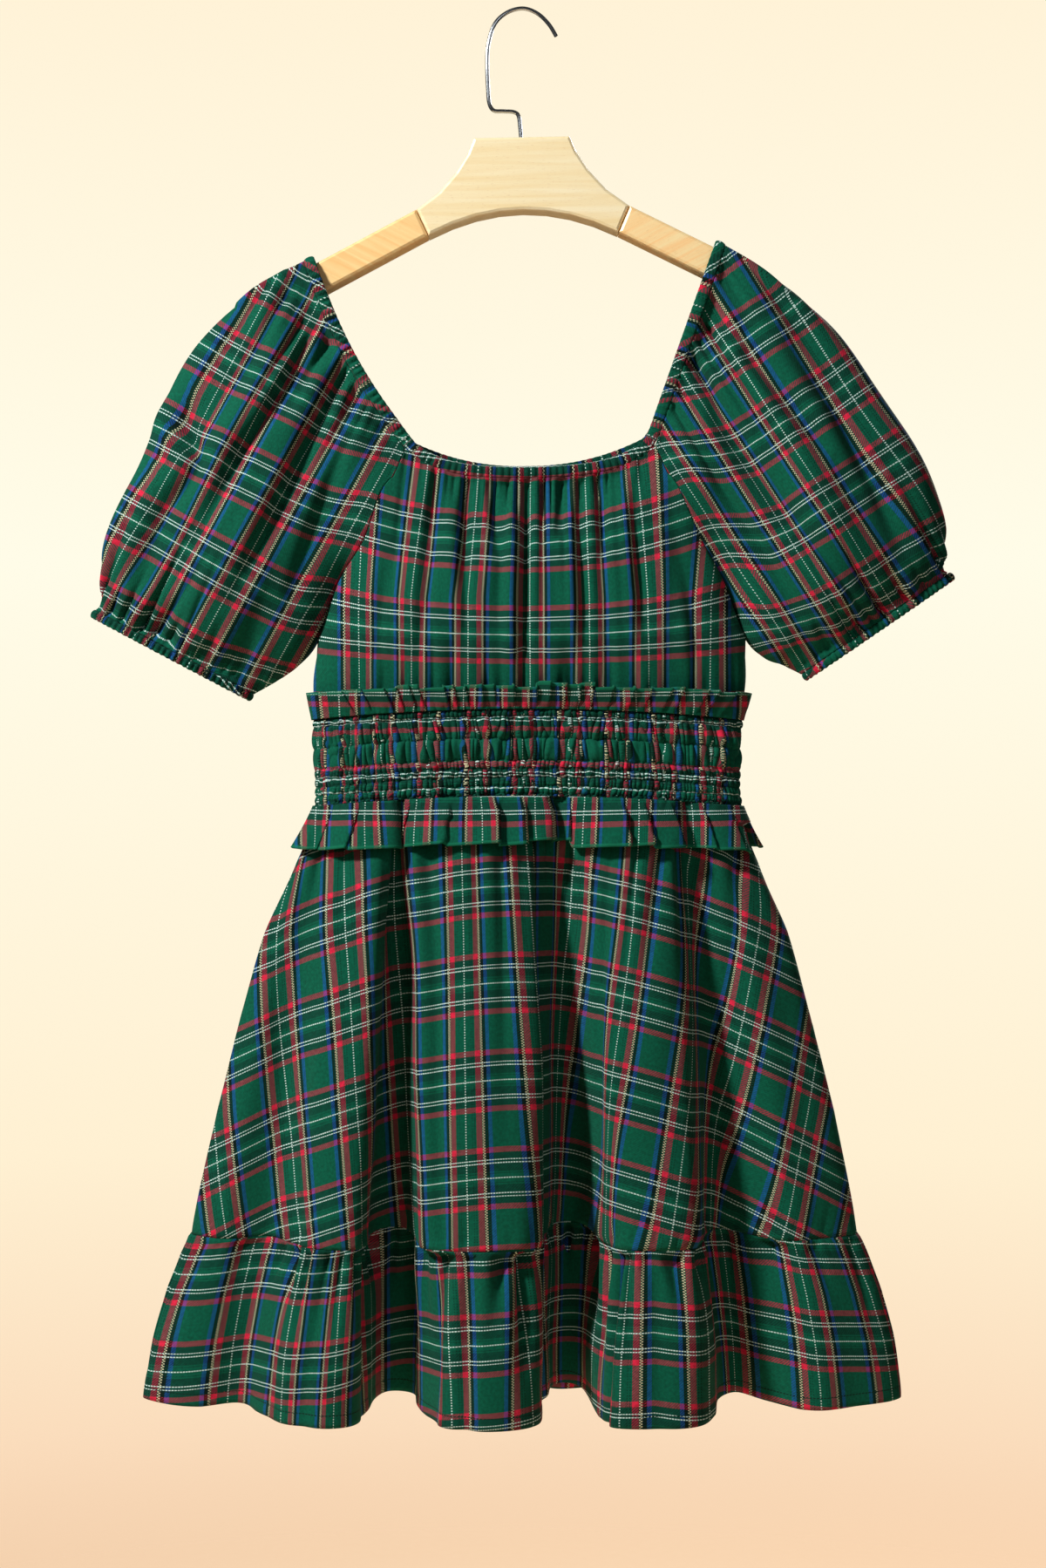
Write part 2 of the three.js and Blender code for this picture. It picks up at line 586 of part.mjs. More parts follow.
function arm(name, way) {
  const { jointTop, jointFoot, halfWidth, slope, tipRadius } = HANGER;
  const top = (x) => jointTop.z - slope * (x - jointTop.x);
  const foot = (x) => jointFoot.z - slope * (x - jointFoot.x);
  const tipX = halfWidth - tipRadius;
  const tipMiddle = (top(tipX) + foot(tipX)) / 2;
  const tip = steps(6).map((t) => {
    const angle = Math.PI * (0.5 - t) - 0.15;
    return [tipX + tipRadius * Math.cos(angle), tipMiddle + 9.5 * Math.sin(angle) - 2];
  });
  const start = [
    [jointTop.x + SEAM_GAP, jointTop.z],
    [tipX - 6, top(tipX - 6)],
  ];
  const end = [
    [tipX - 10, foot(tipX - 10)],
    [jointFoot.x + SEAM_GAP + 0.1, jointFoot.z],
  ];
  const outline = [...start, ...tip, ...end];
  const turned = way > 0 ? outline.toReversed() : outline;
  return hangerSolid(name, turned.map(([x, z]) => new THREE.Vector2(way * x, z)));
}

// The hook's middle line, from the stem's foot up to the tip, in the garment's own frame
const HOOK_LINE = [
  { x: -1.4, z: -96.9 },
  { x: -2.2, z: -88 },
  { x: -3.4, z: -79.5 },
  { x: -7, z: -76.6 },
  { x: -15, z: -76 },
  { x: -22, z: -75.4 },
  { x: -25.4, z: -70 },
  { x: -26.4, z: -58 },
  { x: -27, z: -42 },
  { x: -26.2, z: -26 },
  { x: -21.4, z: -10.4 },
  { x: -12, z: -1.6 },
  { x: 0, z: HOOK.wireRadius },
  { x: 11, z: -2.4 },
  { x: 19.5, z: -10.5 },
  { x: 25, z: -19.5 },
];

function hook() {
  const route = new THREE.CatmullRomCurve3(HOOK_LINE.map(({ x, z }) => new THREE.Vector3(x, 0, z)));
  const section = new THREE.Shape();
  section.absarc(0, 0, HOOK.wireRadius, 0, 2 * Math.PI);
  const geometry = new THREE.ExtrudeGeometry(section, {
    steps: HOOK.steps,
    extrudePath: route,
    curveSegments: HOOK.sides,
  });
  const mesh = new THREE.Mesh(geometry, CHROME);
  mesh.name = "hanger_hook";
  return mesh;
}

const hanger = new THREE.Group();
hanger.position.set(HANGER.centreX, 0, HANGER.top);
hanger.rotation.y = -HANGER.tilt;
hanger.add(yoke(), arm("hanger_arm_left", -1), arm("hanger_arm_right", 1));

const dress = new THREE.Group();
dress.add(
  wall("bodice_front", bodiceGrid(-1, 42), PLAID),
  wall("bodice_back", bodiceGrid(1, 32), PLAID),
  wall("sleeve_left", sleeveGrid("left", 32), PLAID),
  wall("sleeve_right", sleeveGrid("right", 32), PLAID),
  casing("neck_casing", neckLine(68), CASING, CASING_CLOTH),
  casing("cuff_casing_left", cuffLine("left", 26), CUFF_CASING, CASING_CLOTH),
  casing("cuff_casing_right", cuffLine("right", 26), CUFF_CASING, CASING_CLOTH),
  smockedBand("smocked_waist_front", -1),
  smockedBand("smocked_waist_back", 1),
  upperFrill("upper_frill_front", -1, 40),
  upperFrill("upper_frill_back", 1, 36),
  lowerFrill("lower_frill_front", -1, 68),
  lowerFrill("lower_frill_back", 1, 40),
  skirt("skirt_front", -1, 68),
  skirt("skirt_back", 1, 40),
  flounce("flounce_front", -1, 68),
  flounce("flounce_back", 1, 40),
  hanger,
  hook(),
);

export default dress;
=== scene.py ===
# %% [markdown]
# A plaid mini dress on a wooden hanger.
# The CAD frame holds every piece as a thin, coarse wall. Here each cloth piece is sewn again from the
# same shape tables on a much finer grid, so that gathers, pleats, smocking ribs and elastic rows can
# be real geometry. The wooden hanger keeps its CAD meshes and only gets its finish here.

# %% Load the frame
import math
import bmesh
import bpy
import numpy as np
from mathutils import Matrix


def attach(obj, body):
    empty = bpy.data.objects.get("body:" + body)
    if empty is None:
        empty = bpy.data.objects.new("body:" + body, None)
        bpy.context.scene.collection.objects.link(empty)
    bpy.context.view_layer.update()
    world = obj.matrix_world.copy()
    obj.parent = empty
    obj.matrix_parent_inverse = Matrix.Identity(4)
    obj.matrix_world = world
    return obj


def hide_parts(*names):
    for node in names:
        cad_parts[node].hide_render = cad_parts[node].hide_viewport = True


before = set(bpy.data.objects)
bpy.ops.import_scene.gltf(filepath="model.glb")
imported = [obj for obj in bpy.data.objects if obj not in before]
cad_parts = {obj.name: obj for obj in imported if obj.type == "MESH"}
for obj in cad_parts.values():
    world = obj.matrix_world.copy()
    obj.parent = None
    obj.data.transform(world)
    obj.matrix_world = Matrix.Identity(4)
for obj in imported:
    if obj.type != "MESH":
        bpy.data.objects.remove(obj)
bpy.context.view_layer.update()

# %% [markdown]
# The shape tables are in millimetres, as a pattern cutter works, and Blender works in metres.
# One factor joins the two. The front of the dress faces -Y, and the origin is where a rail would
# carry the hook, so every height is negative. Face -1 is the front and face 1 the back.
# Sewn pieces stay a hair apart: `SEAM_GAP` and `EDGE_GAP` are what each of them leaves at a seam.

# %% Seams, edges and the body's section at each height
MM = 0.001
CLOTH = 1.3
SEAM_GAP = 0.1
EDGE_GAP = 0.2
FRONT, BACK = -1, 1
FRONT_NECK_DIP, BACK_NECK_DIP = 23.5, 24
FRONT_DIP_ROUNDING, BACK_DIP_ROUNDING = 3.4, 2.2
UPPER_FRILL_TOP, WAIST_TOP, WAIST_BOTTOM, LOWER_FRILL_FOOT = -508, -527, -592, -627
SKIRT_SEAM, HEM = -923, -1050
BACK_SHARE = 0.72
SIDE_ROUNDING = 2.6
BODY_KEYS = ("z", "left", "right", "front", "back", "drop")
BODY = [
    (-477, -153, 166, 38, 23, 0), (-500, -157, 167, 34, 21, 5), (WAIST_TOP, -156, 163, 27, 19, 8),
    (-560, -155, 161, 26, 18, 8), (WAIST_BOTTOM, -155, 163, 27, 19, 8), (-635, -170, 176, 29, 22, 7),
    (-690, -194, 199, 30, 25, 5), (-755, -212, 216, 31, 28, 3), (-829, -230, 234, 32, 31, 1),
    (SKIRT_SEAM, -249, 251, 33, 34, -2), (-938, -256, 259, 33.5, 34.8, -2.4),
    (-966, -266, 269, 34, 36, -3.5), (-1005, -277, 279, 35, 37, -4.5), (HEM, -285, 284, 35, 38, -6),
]
print("body sections", len(BODY))

# %% Sleeve sections from the neckline to the cuff
UNDERARM_SECTION = 4
SLEEVE_KEYS = ("bodyX", "bodyZ", "outX", "outZ", "puff")
SLEEVES = {
    "left": [
        (-88, -333, -164.5, -191.5, 18), (-102, -367, -205, -214, 26), (-117, -401, -238, -250, 33),
        (-139, -433, -264, -296, 38), (-155, -475, -286, -343, 39), (-169, -493, -305, -382, 35),
        (-184, -504, -319, -424, 26), (-203, -515, -322, -452, 15),
    ],
    "right": [
        (99, -330, 152, -179.8, 18), (113, -364, 185, -201, 26), (130, -397, 219, -233, 33),
        (152, -434, 253.5, -273, 38), (168, -473, 283.5, -317, 39), (183, -488, 306, -361, 35),
        (196, -493, 321, -396.5, 26), (210, -500, 321, -424, 15),
    ],
}
LAST_SECTION = 7
BACK_NECK_RISE = 0.04
SLEEVE_TOP_ROUNDING, SLEEVE_ROUNDING = 6.5, 2.3
NECK_BOW = {"left": 7.5, "right": 0.0}
print("sleeve sections", {side: len(rows) for side, rows in SLEEVES.items()})

# %% [markdown]
# The skirt's deep soft folds are a table of fold lines from side to side: where each line lies at the
# waist, at the flounce seam and at the hem, how far it stands out, and which part of the flat cloth
# it is, counted in repeats of the plaid. The last three columns say that for the skirt's top, for its
# foot, and for the flounce, which is a longer strip gathered onto the skirt.

# %% Fold lines of the front skirt and flounce
AT_WAIST, AT_SEAM, AT_HEM, OUT, TOP_CUT, SEAM_CUT, FLOUNCE_CUT = range(7)
FRONT_FOLDS = [
    (-155, -249, -285, 0, 1.0, -0.45, 0.04), (-153, -242, -276, 0, 1.1, -0.34, 0.17),
    (-150, -222, -248, 3, 1.28, 0.0, 0.55), (-145, -190, -212, -10, 1.55, 0.57, 1.15),
    (-139, -169, -190, 10, 1.76, 0.95, 1.68), (-130, -158, -174, 30, 1.95, 1.15, 2.04),
    (-114, -138, -149, 38, 2.2, 1.56, 2.7), (-101, -121, -126, 33, 2.44, 1.9, 3.28),
    (-96, -114, -115, 10, 2.6, 2.15, 3.6), (-95, -113, -113, -22, 2.8, 2.42, 4.08),
    (-92, -101, -102, -38, 3.03, 2.64, 4.3), (-88, -87, -84, -33, 3.18, 2.88, 4.7),
    (-85, -79, -74, -4, 3.27, 3.05, 5.35), (-78, -72, -65, 26, 3.4, 3.27, 5.75),
    (-48, -44, -38, 38, 3.95, 3.93, 6.226), (-8, -6, -9, 37, 4.78, 4.52, 6.75),
    (13, 12, 10, 22, 5.12, 4.8, 7.06), (17, 17, 15, -10, 5.3, 5.3, 7.4),
    (19, 21, 20, -44, 5.55, 5.9, 8.0), (23, 33, 32, -54, 5.8, 6.41, 8.4),
    (30, 47, 46, -42, 5.96, 6.64, 8.8), (42, 60, 56, 2, 6.19, 6.86, 9.2),
    (58, 71, 66, 29, 6.5, 7.5, 9.9), (84, 97, 97, 38, 7.09, 7.85, 10.4),
    (105, 123, 127, 31, 7.44, 8.25, 10.88), (114, 132, 140, 5, 7.7, 8.4, 11.1),
    (117, 138, 147, -23, 8.0, 8.85, 11.5), (121, 149, 161, -33, 8.12, 9.36, 12.03),
    (129, 168, 183, -17, 8.3, 9.65, 12.4), (143, 197, 217, 5, 8.66, 10.04, 12.94),
    (154, 223, 250, 1, 8.88, 10.5, 13.53), (160, 243, 276, 0, 9.05, 10.85, 14.0),
    (163, 251, 284, 0, 9.12, 10.98, 14.17),
]
FOLD_GROWTH = [(WAIST_BOTTOM, 0.14), (-660, 0.3), (-780, 0.52), (SKIRT_SEAM, 0.78), (HEM, 1)]
VALLEY_LIFT = 0.2
BACK_FOLD_COUNT, BACK_FOLD_DEPTH = 6, 6
BAND_OUT, FRILL_OUT = 1.3, 3
SMOCKED_WALL = 1.5
print("fold lines", len(FRONT_FOLDS))

# %% [markdown]
# Small tools for curves. `column` draws a smooth curve through one column of a table, and `evenly`
# spaces points along a line, as pins along a seam. They work on whole numpy arrays, because a cloth
# grid has tens of thousands of points and Python loops over them would take minutes.

# %% Curve tools
def lerp(a, b, t):
    return a + (b - a) * t


def clamp(t):
    return np.clip(t, 0, 1)


def smooth(t):
    return clamp(t) ** 2 * (3 - 2 * clamp(t))


def wave(t, count, phase=0.0):
    return np.sin(2 * np.pi * (count * t + phase))


def column(table, key, at):
    values = np.array([row[key] for row in table], float)
    last = len(values) - 1
    i = np.clip(np.floor(at).astype(int), 0, last - 1)
    t = at - i
    a, b, c, d = (values[np.clip(i + k, 0, last)] for k in (-1, 0, 1, 2))
    first, second = (c - a) / 2, (d - b) / 2
    return b + t * (first + t * (3 * (c - b) - 2 * first - second + t * (2 * (b - c) + first + second)))


def row_at(table, z):
    return np.interp(-z, [-row[0] for row in table], range(len(table)))


def body_at(z):
    at = row_at(BODY, z)
    return {key: column(BODY, k, at) for k, key in enumerate(BODY_KEYS)}


def lengths_along(points):
    steps = np.linalg.norm(np.diff(points, axis=-2), axis=-1)
    return np.concatenate([np.zeros(steps.shape[:-1] + (1,)), np.cumsum(steps, -1)], -1)


def evenly(points, count):
    lengths = lengths_along(points)
    places = np.linspace(0, lengths[-1], count + 1)
    return np.stack([np.interp(places, lengths, points[:, k]) for k in range(3)], -1)


print("body at the waist", {key: round(float(value), 1) for key, value in body_at(-560).items()})

# %% [markdown]
# A relief moves cloth along its own outward direction, which is the cross product of the way down the
# grid and the way across it. At the side seams that direction has nothing to the front or the back in
# it, so that the front and back pieces never push into each other there.

# %% Normals and relief
def normals(grid):
    down = np.gradient(grid, axis=0)
    across = np.gradient(grid, axis=1)
    out = np.cross(down, across)
    for edge in (0, -1):
        seam = np.abs(grid[:, edge, 1]) < 1
        out[seam, edge, 1] = 0
    return out / np.linalg.norm(out, axis=-1, keepdims=True)


def relieve(grid, height):
    return grid + normals(grid) * height[..., None]


def shares(grid):
    rows, columns = grid.shape[:2]
    return np.meshgrid(np.linspace(0, 1, columns), np.linspace(0, 1, rows))


# %% [markdown]
# Gathered cloth isn't an even wave. Each small pleat starts at the stitching, has its own width and
# runs out at its own length. So a gather is a row of narrow valleys, each drawn with seeded random
# numbers: `pinches` takes the place along the seam and the distance away from it in millimetres.
# An edge has up to three rows of them, from long soft folds to short tight ones, and a table gives
# each row's spacing, depth, width and reach in millimetres, then its seed and how far it leans.
# Close to most seams the relief fades, within `SEAM_REACH` and down to `SEAM_SHARE`, so that the
# edges of two pieces meet.

# %% Gathers, rumples and creases
SEAM_REACH, SEAM_SHARE = 5, 0.1


def pinches(along, away, spacing, depth, width, reach, seed, slant=0.0):
    dice = np.random.default_rng(seed)
    low, high = float(along.min()), float(along.max())
    height = np.zeros_like(along)
    place = low + spacing * 0.5
    while place < high:
        own_width = width * dice.uniform(0.6, 1.5)
        own_reach = reach * dice.uniform(0.35, 1.3)
        own_depth = depth * dice.uniform(0.5, 1.3)
        lean = slant * dice.uniform(-1, 1)
        near = np.exp(-(((along - place - lean * away) / own_width) ** 2))
        height -= own_depth * near * np.exp(-((away / own_reach) ** 2))
        place += spacing * dice.uniform(0.55, 1.5)
    return height


def gathers(along, away, table, face=0):
    rows = (pinches(along, away, *sizes, seed + face, slant) for *sizes, seed, slant in table)
    return sum(rows)


def rumple(a, b, size, depth, seed, stretch=1.0):
    dice = np.random.default_rng(seed)
    height = np.zeros_like(a)
    for _ in range(7):
        angle = dice.uniform(0, 2 * np.pi)
        pitch = size * dice.uniform(0.7, 1.6)
        turn = (np.cos(angle) * a + np.sin(angle) * b / stretch) / pitch
        height += np.sin(2 * np.pi * turn + dice.uniform(0, 2 * np.pi))
    return depth * height / 2.6


def crease(across, down, path, width, depth):
    """A valley along a path with a ridge on its left, both fading at the path's ends."""
    best = np.full(across.shape, 1e9)
    side = np.zeros_like(across)
    fade = np.zeros_like(across)
    count = len(path) - 1
    for k, ((ax, ay), (bx, by)) in enumerate(zip(path, path[1:])):
        dx, dy = bx - ax, by - ay
        length = math.hypot(dx, dy)
        t = clamp(((across - ax) * dx + (down - ay) * dy) / length ** 2)
        off_x, off_y = across - ax - t * dx, down - ay - t * dy
        distance = np.hypot(off_x, off_y)
        nearer = distance < best
        best = np.where(nearer, distance, best)
        side = np.where(nearer, (off_x * dy - off_y * dx) / length, side)
        fade = np.where(nearer, np.sin(np.pi * clamp((k + t) / count)) ** 0.6, fade)
    signed = np.where(np.abs(side) > 1e-9, np.sign(side) * best, best)
    valley = np.exp(-((signed / width) ** 2))
    ridge = np.exp(-(((signed + 1.9 * width) / (1.3 * width)) ** 2))
    return depth * fade * (0.55 * ridge - valley)


# %% [markdown]
# The camera stands 1.7 m in front of the dress at the middle of the picture. Several features are
# placed where they show in the picture, so `seen` gives the picture column and row of a point of the
# cloth. A nearer point shows a little further from the middle, and the depth is taken into account.

# %% Where a point shows in the 1200 x 1799 picture
PIXEL = 0.657
MIDDLE_COLUMN, ORIGIN_ROW = 600, 12
PICTURE_ROWS = 1799
EYE_DISTANCE = 1700.0
EYE_Z = -583.1


def seen(points):
    near = EYE_DISTANCE / (EYE_DISTANCE + points[..., 1])
    height = EYE_Z + (points[..., 2] - EYE_Z) * near
    return MIDDLE_COLUMN + points[..., 0] * near / PIXEL, ORIGIN_ROW - height / PIXEL


def seen_creases(grid, table):
    """The height of a table's creases, whose paths are picture columns and rows."""
    across, row = seen(grid)
    height = np.zeros_like(across)
    for path, width, depth in table:
        marks = [(a * PIXEL, b * PIXEL) for a, b in path]
        height += crease(across * PIXEL, row * PIXEL, marks, width, depth)
    return height


def through(x, places, values):
    """A line through measured places that goes on straight past its ends."""
    first = (values[1] - values[0]) / (places[1] - places[0])
    last = (values[-1] - values[-2]) / (places[-1] - places[-2])
    before = np.minimum(0, x - places[0]) * first
    after = np.maximum(0, x - places[-1]) * last
    return np.interp(x, places, values) + before + after


# %% [markdown]
# Colours are written as sRGB hex values, as a paint program shows them, and turned to the linear
# values that Blender's sockets take. One function adds a node: its settings are keyword arguments,
# and its inputs are either numbers or the outputs of other nodes. Blender's long names of the node
# kinds are kept in short ones.

# %% Colour and node helpers
MATH, VECTOR_MATH, MAP_RANGE = "ShaderNodeMath", "ShaderNodeVectorMath", "ShaderNodeMapRange"
MIX, GAMMA, COLOUR_RAMP = "ShaderNodeMix", "ShaderNodeGamma", "ShaderNodeValToRGB"
NOISE, BUMP, BACKGROUND = "ShaderNodeTexNoise", "ShaderNodeBump", "ShaderNodeBackground"
TEXTURE_PLACE, UV_MAP, MAPPING = "ShaderNodeTexCoord", "ShaderNodeUVMap", "ShaderNodeMapping"
SEPARATE, PRINCIPLED = "ShaderNodeSeparateXYZ", "ShaderNodeBsdfPrincipled"
MATERIAL_OUTPUT = "ShaderNodeOutputMaterial"


def colour(code):
    parts = [int(code[k:k + 2], 16) / 255 for k in (1, 3, 5)]
    return [c / 12.92 if c < 0.04045 else ((c + 0.055) / 1.055) ** 2.4 for c in parts] + [1.0]


def add_node(tree, kind, inputs=None, **settings):
    node = tree.nodes.new(kind)
    for key, value in settings.items():
        setattr(node, key, value)
    for key, value in (inputs or {}).items():
        if isinstance(value, bpy.types.NodeSocket):
            tree.links.new(value, node.inputs[key])
        else:
            node.inputs[key].default_value = value
    return node


def paint_bands(ramp, reach, bands):
    """Hard-edged bands on a Color Ramp: each starts at a distance in mm and may be see-through."""
    stops = ramp.color_ramp
    stops.interpolation = "CONSTANT"
    while len(stops.elements) < len(bands):
        stops.elements.new(1.0)
    for stop, (start, code, alpha) in zip(list(stops.elements), bands):
        stop.position = start / reach
        stop.color = colour(code)[:3] + [alpha]


def new_material(name):
    made = bpy.data.materials.new(name)
    made.use_nodes = True
    tree = made.node_tree
    tree.nodes.clear()
    return made, tree


# %% [markdown]
# Yarn-dyed tartan cotton: the pattern is woven, not printed. Coloured warp threads run down the piece
# and coloured weft threads across it, and a 2/2 twill shows half of each, so a red stripe is bright
# only where it crosses red, and dull where it crosses green. The material does the same: one ramp
# for the warp stripes, one for the weft stripes, mixed by a fine diagonal twill.
# The repeat is 62 mm across and 70.4 mm down and mirrors about its middle, which is what the
# Ping-Pong node gives. Its UV map is the flat cut in metres, so the plaid follows every fold.

# %% Plaid measurements in millimetres
WARP_REPEAT, WEFT_REPEAT = 62.0, 70.4
TWILL_PITCH = 1.95
GREEN, RED, NAVY, BLACK = "#035841", "#dc2644", "#2050b2", "#020807"
WHITE, CREAM, BOTTLE, INK = "#daf2ea", "#e2dab2", "#032c24", "#03170f"
WARP_BANDS = [(0, GREEN, 1), (8.4, RED, 1), (12.6, BLACK, 1), (17.6, NAVY, 1), (20.6, GREEN, 1)]
WEFT_BANDS = [
    (0, GREEN, 1), (3.1, BOTTLE, 1), (3.7, GREEN, 1), (4.7, BOTTLE, 1), (9.6, BOTTLE, 1),
    (18.4, RED, 1), (22.4, GREEN, 1),
]
WARP_DOTS = [
    (0, WHITE, 0.9), (0.42, WHITE, 0), (4.9, INK, 0.8), (5.5, INK, 0), (6.7, INK, 0.8), (7.3, INK, 0),
    (12.9, CREAM, 0.8), (14.9, INK, 0.85), (17.2, INK, 0),
]
WEFT_DOTS = [
    (0, WHITE, 0.8), (0.38, WHITE, 0), (10.4, WHITE, 0.85), (11.15, WHITE, 0), (12.8, WHITE, 0.85),
    (13.5, WHITE, 0),
]
LADDER_MIDDLE = 13.9
print("plaid repeat", WARP_REPEAT, "x", WEFT_REPEAT, "mm")


# %% The plaid cotton material
def plaid_material(name, trim=None):
    made, tree = new_material(name)
    cut = add_node(tree, UV_MAP, uv_map="cut")
    flat = add_node(tree, SEPARATE, {0: cut.outputs[0]})
    across = add_node(tree, MATH, {0: flat.outputs[0], 1: 1 / MM}, operation="MULTIPLY").outputs[0]
    down = add_node(tree, MATH, {0: flat.outputs[1], 1: 1 / MM}, operation="MULTIPLY").outputs[0]

    def bands(place, repeat, table):
        mirrored = add_node(tree, MATH, {0: place, 1: repeat / 2}, operation="PINGPONG")
        share = add_node(tree, MATH, {0: mirrored.outputs[0], 1: repeat / 2}, operation="DIVIDE")
        ramp = add_node(tree, COLOUR_RAMP, {0: share.outputs[0]})
        paint_bands(ramp, repeat / 2, table)
        return ramp, mirrored.outputs[0]

    warp, from_middle = bands(across, WARP_REPEAT, WARP_BANDS)
    weft, _ = bands(down, WEFT_REPEAT, WEFT_BANDS)
    warp_dots, _ = bands(across, WARP_REPEAT, WARP_DOTS)
    weft_dots, _ = bands(down, WEFT_REPEAT, WEFT_DOTS)

    # The twill line climbs one thread for each thread across.
    diagonal = add_node(tree, MATH, {0: across, 1: down}, operation="ADD")
    ridge = add_node(tree, MATH, {0: diagonal.outputs[0], 1: TWILL_PITCH / 2}, operation="PINGPONG")
    half_way = 0.25 * TWILL_PITCH
    twill = add_node(
        tree, MAP_RANGE,
        {"Value": ridge.outputs[0], "From Min": half_way - 0.12, "From Max": half_way + 0.12,
         "To Min": 0.3, "To Max": 0.7},
    )
    # Threads mix as the eye sees them, so the mix is made on colours that are even to the eye.
    seen_warp = add_node(tree, GAMMA, {"Color": warp.outputs[0], "Gamma": 1 / 2.2})
    seen_weft = add_node(tree, GAMMA, {"Color": weft.outputs[0], "Gamma": 1 / 2.2})
    mixed = add_node(
        tree, MIX,
        {0: twill.outputs[0], 6: seen_weft.outputs[0], 7: seen_warp.outputs[0]}, data_type="RGBA",
    )
    woven = add_node(tree, GAMMA, {"Color": mixed.outputs[2], "Gamma": 2.2}).outputs[0]

    # Light and dark threads show as dots, two threads long, and the ladder's second column is staggered.
    second = add_node(tree, MATH, {0: from_middle, 1: LADDER_MIDDLE}, operation="GREATER_THAN")
    half_pitch_down = {0: second.outputs[0], 1: TWILL_PITCH / 2, 2: down}
    shift = add_node(tree, MATH, half_pitch_down, operation="MULTIPLY_ADD")
    rung = add_node(tree, MATH, {0: shift.outputs[0], 1: TWILL_PITCH / 2}, operation="PINGPONG")
    on_top = add_node(tree, MATH, {0: rung.outputs[0], 1: TWILL_PITCH * 0.29}, operation="GREATER_THAN")
    warp_share = add_node(tree, MATH, {0: warp_dots.outputs[1], 1: on_top.outputs[0]}, operation="MULTIPLY")
    dotted = add_node(
        tree, MIX,
        {0: warp_share.outputs[0], 6: woven, 7: warp_dots.outputs[0]}, data_type="RGBA",
    )
    step = add_node(tree, MATH, {0: across, 1: TWILL_PITCH / 2}, operation="PINGPONG")
    over = add_node(
        tree, MAP_RANGE,
        {"Value": step.outputs[0], "From Min": 0.2, "From Max": 0.45, "To Min": 0.15, "To Max": 1.0},
    )
    weft_share = add_node(tree, MATH, {0: weft_dots.outputs[1], 1: over.outputs[0]}, operation="MULTIPLY")
    plaid = add_node(
        tree, MIX,
        {0: weft_share.outputs[0], 6: dotted.outputs[2], 7: weft_dots.outputs[0]}, data_type="RGBA",
    ).outputs[2]

    # Washed cotton is a little uneven, and its fibres stand up as a dusty fuzz.
    fuzz = add_node(tree, NOISE, {"Vector": cut.outputs[0], "Scale": 420.0, "Detail": 3.0})
    worn = add_node(
        tree, MAP_RANGE,
        {"Value": fuzz.outputs[0], "From Min": 0.3, "From Max": 0.7, "To Min": 0.66, "To Max": 1.06},
    )
    shade = add_node(tree, VECTOR_MATH, {0: plaid, "Scale": worn.outputs[0]}, operation="SCALE")
    skin = shade.outputs[0]

    if trim:
        edge = add_node(tree, UV_MAP, uv_map="edge")
        place = add_node(tree, SEPARATE, {0: edge.outputs[0]})
        skin = TRIMS[trim](tree, place, skin)

    fuzz_on_twill = {0: fuzz.outputs[0], 1: 0.6, 2: twill.outputs[0]}
    thread = add_node(tree, MATH, fuzz_on_twill, operation="MULTIPLY_ADD")
    bump = add_node(tree, BUMP, {"Height": thread.outputs[0], "Strength": 0.5, "Distance": 0.00025})
    cotton = add_node(
        tree, PRINCIPLED,
        {"Base Color": skin, "Roughness": 0.88, "Specular IOR Level": 0.1, "Sheen Weight": 0.04,
         "Sheen Roughness": 0.6, "Sheen Tint": colour("#bcd8c8"), "Normal": bump.outputs[0]},
    )
    add_node(tree, MATERIAL_OUTPUT, {0: cotton.outputs[0]})
    return made


# %% [markdown]
# Two trims are drawn from a second UV map, `edge`, which runs along the piece's free edge in its first
# coordinate and away from that edge in its second, both in metres. The hem is turned up and stitched
# once with dark thread, and the frills are serged: overlocked with fine slanting loops.

# %% Hem stitching and serged edges
STITCH_LENGTH, STITCH_WIDTH, HEM_DEPTH = 2.6, 0.45, 9.0
SERGE_DEPTH, SERGE_PITCH = 2.2, 1.1


def stitched(tree, place, skin):
    on_row = {0: place.outputs[1], 1: HEM_DEPTH * MM, 2: STITCH_WIDTH * MM}
    row = add_node(tree, MATH, on_row, operation="COMPARE")
    beat = add_node(tree, MATH, {0: place.outputs[0], 1: STITCH_LENGTH * MM / 2}, operation="PINGPONG")
    space = 0.25 * STITCH_LENGTH / 2 * MM
    sewn = add_node(tree, MATH, {0: beat.outputs[0], 1: space}, operation="GREATER_THAN")
    share = add_node(tree, MATH, {0: row.outputs[0], 1: sewn.outputs[0]}, operation="MULTIPLY")
    thread = add_node(tree, MIX, {0: share.outputs[0], 6: skin, 7: colour("#0a2a20")}, data_type="RGBA")
    return thread.outputs[2]


def serged(tree, place, skin):
    near = add_node(tree, MATH, {0: place.outputs[1], 1: SERGE_DEPTH * MM}, operation="LESS_THAN")
    leaning = {0: place.outputs[1], 1: 0.5, 2: place.outputs[0]}
    slant = add_node(tree, MATH, leaning, operation="MULTIPLY_ADD")
    beat = add_node(tree, MATH, {0: slant.outputs[0], 1: SERGE_PITCH * MM / 2}, operation="PINGPONG")
    loop = add_node(
        tree, MAP_RANGE,
        {"Value": beat.outputs[0], "From Max": SERGE_PITCH * MM / 2, "To Min": 0.45, "To Max": 0.95},
    )
    share = add_node(tree, MATH, {0: near.outputs[0], 1: loop.outputs[0]}, operation="MULTIPLY")
    thread = add_node(tree, MIX, {0: share.outputs[0], 6: skin, 7: colour("#10694b")}, data_type="RGBA")
    return thread.outputs[2]


TRIMS = {"stitched": stitched, "serged": serged}
PLAID = plaid_material("plaid_cotton_twill")
HEMMED = plaid_material("plaid_cotton_hemmed", "stitched")
SERGED = plaid_material("plaid_cotton_serged", "serged")
print("plaid nodes", len(PLAID.node_tree.nodes))

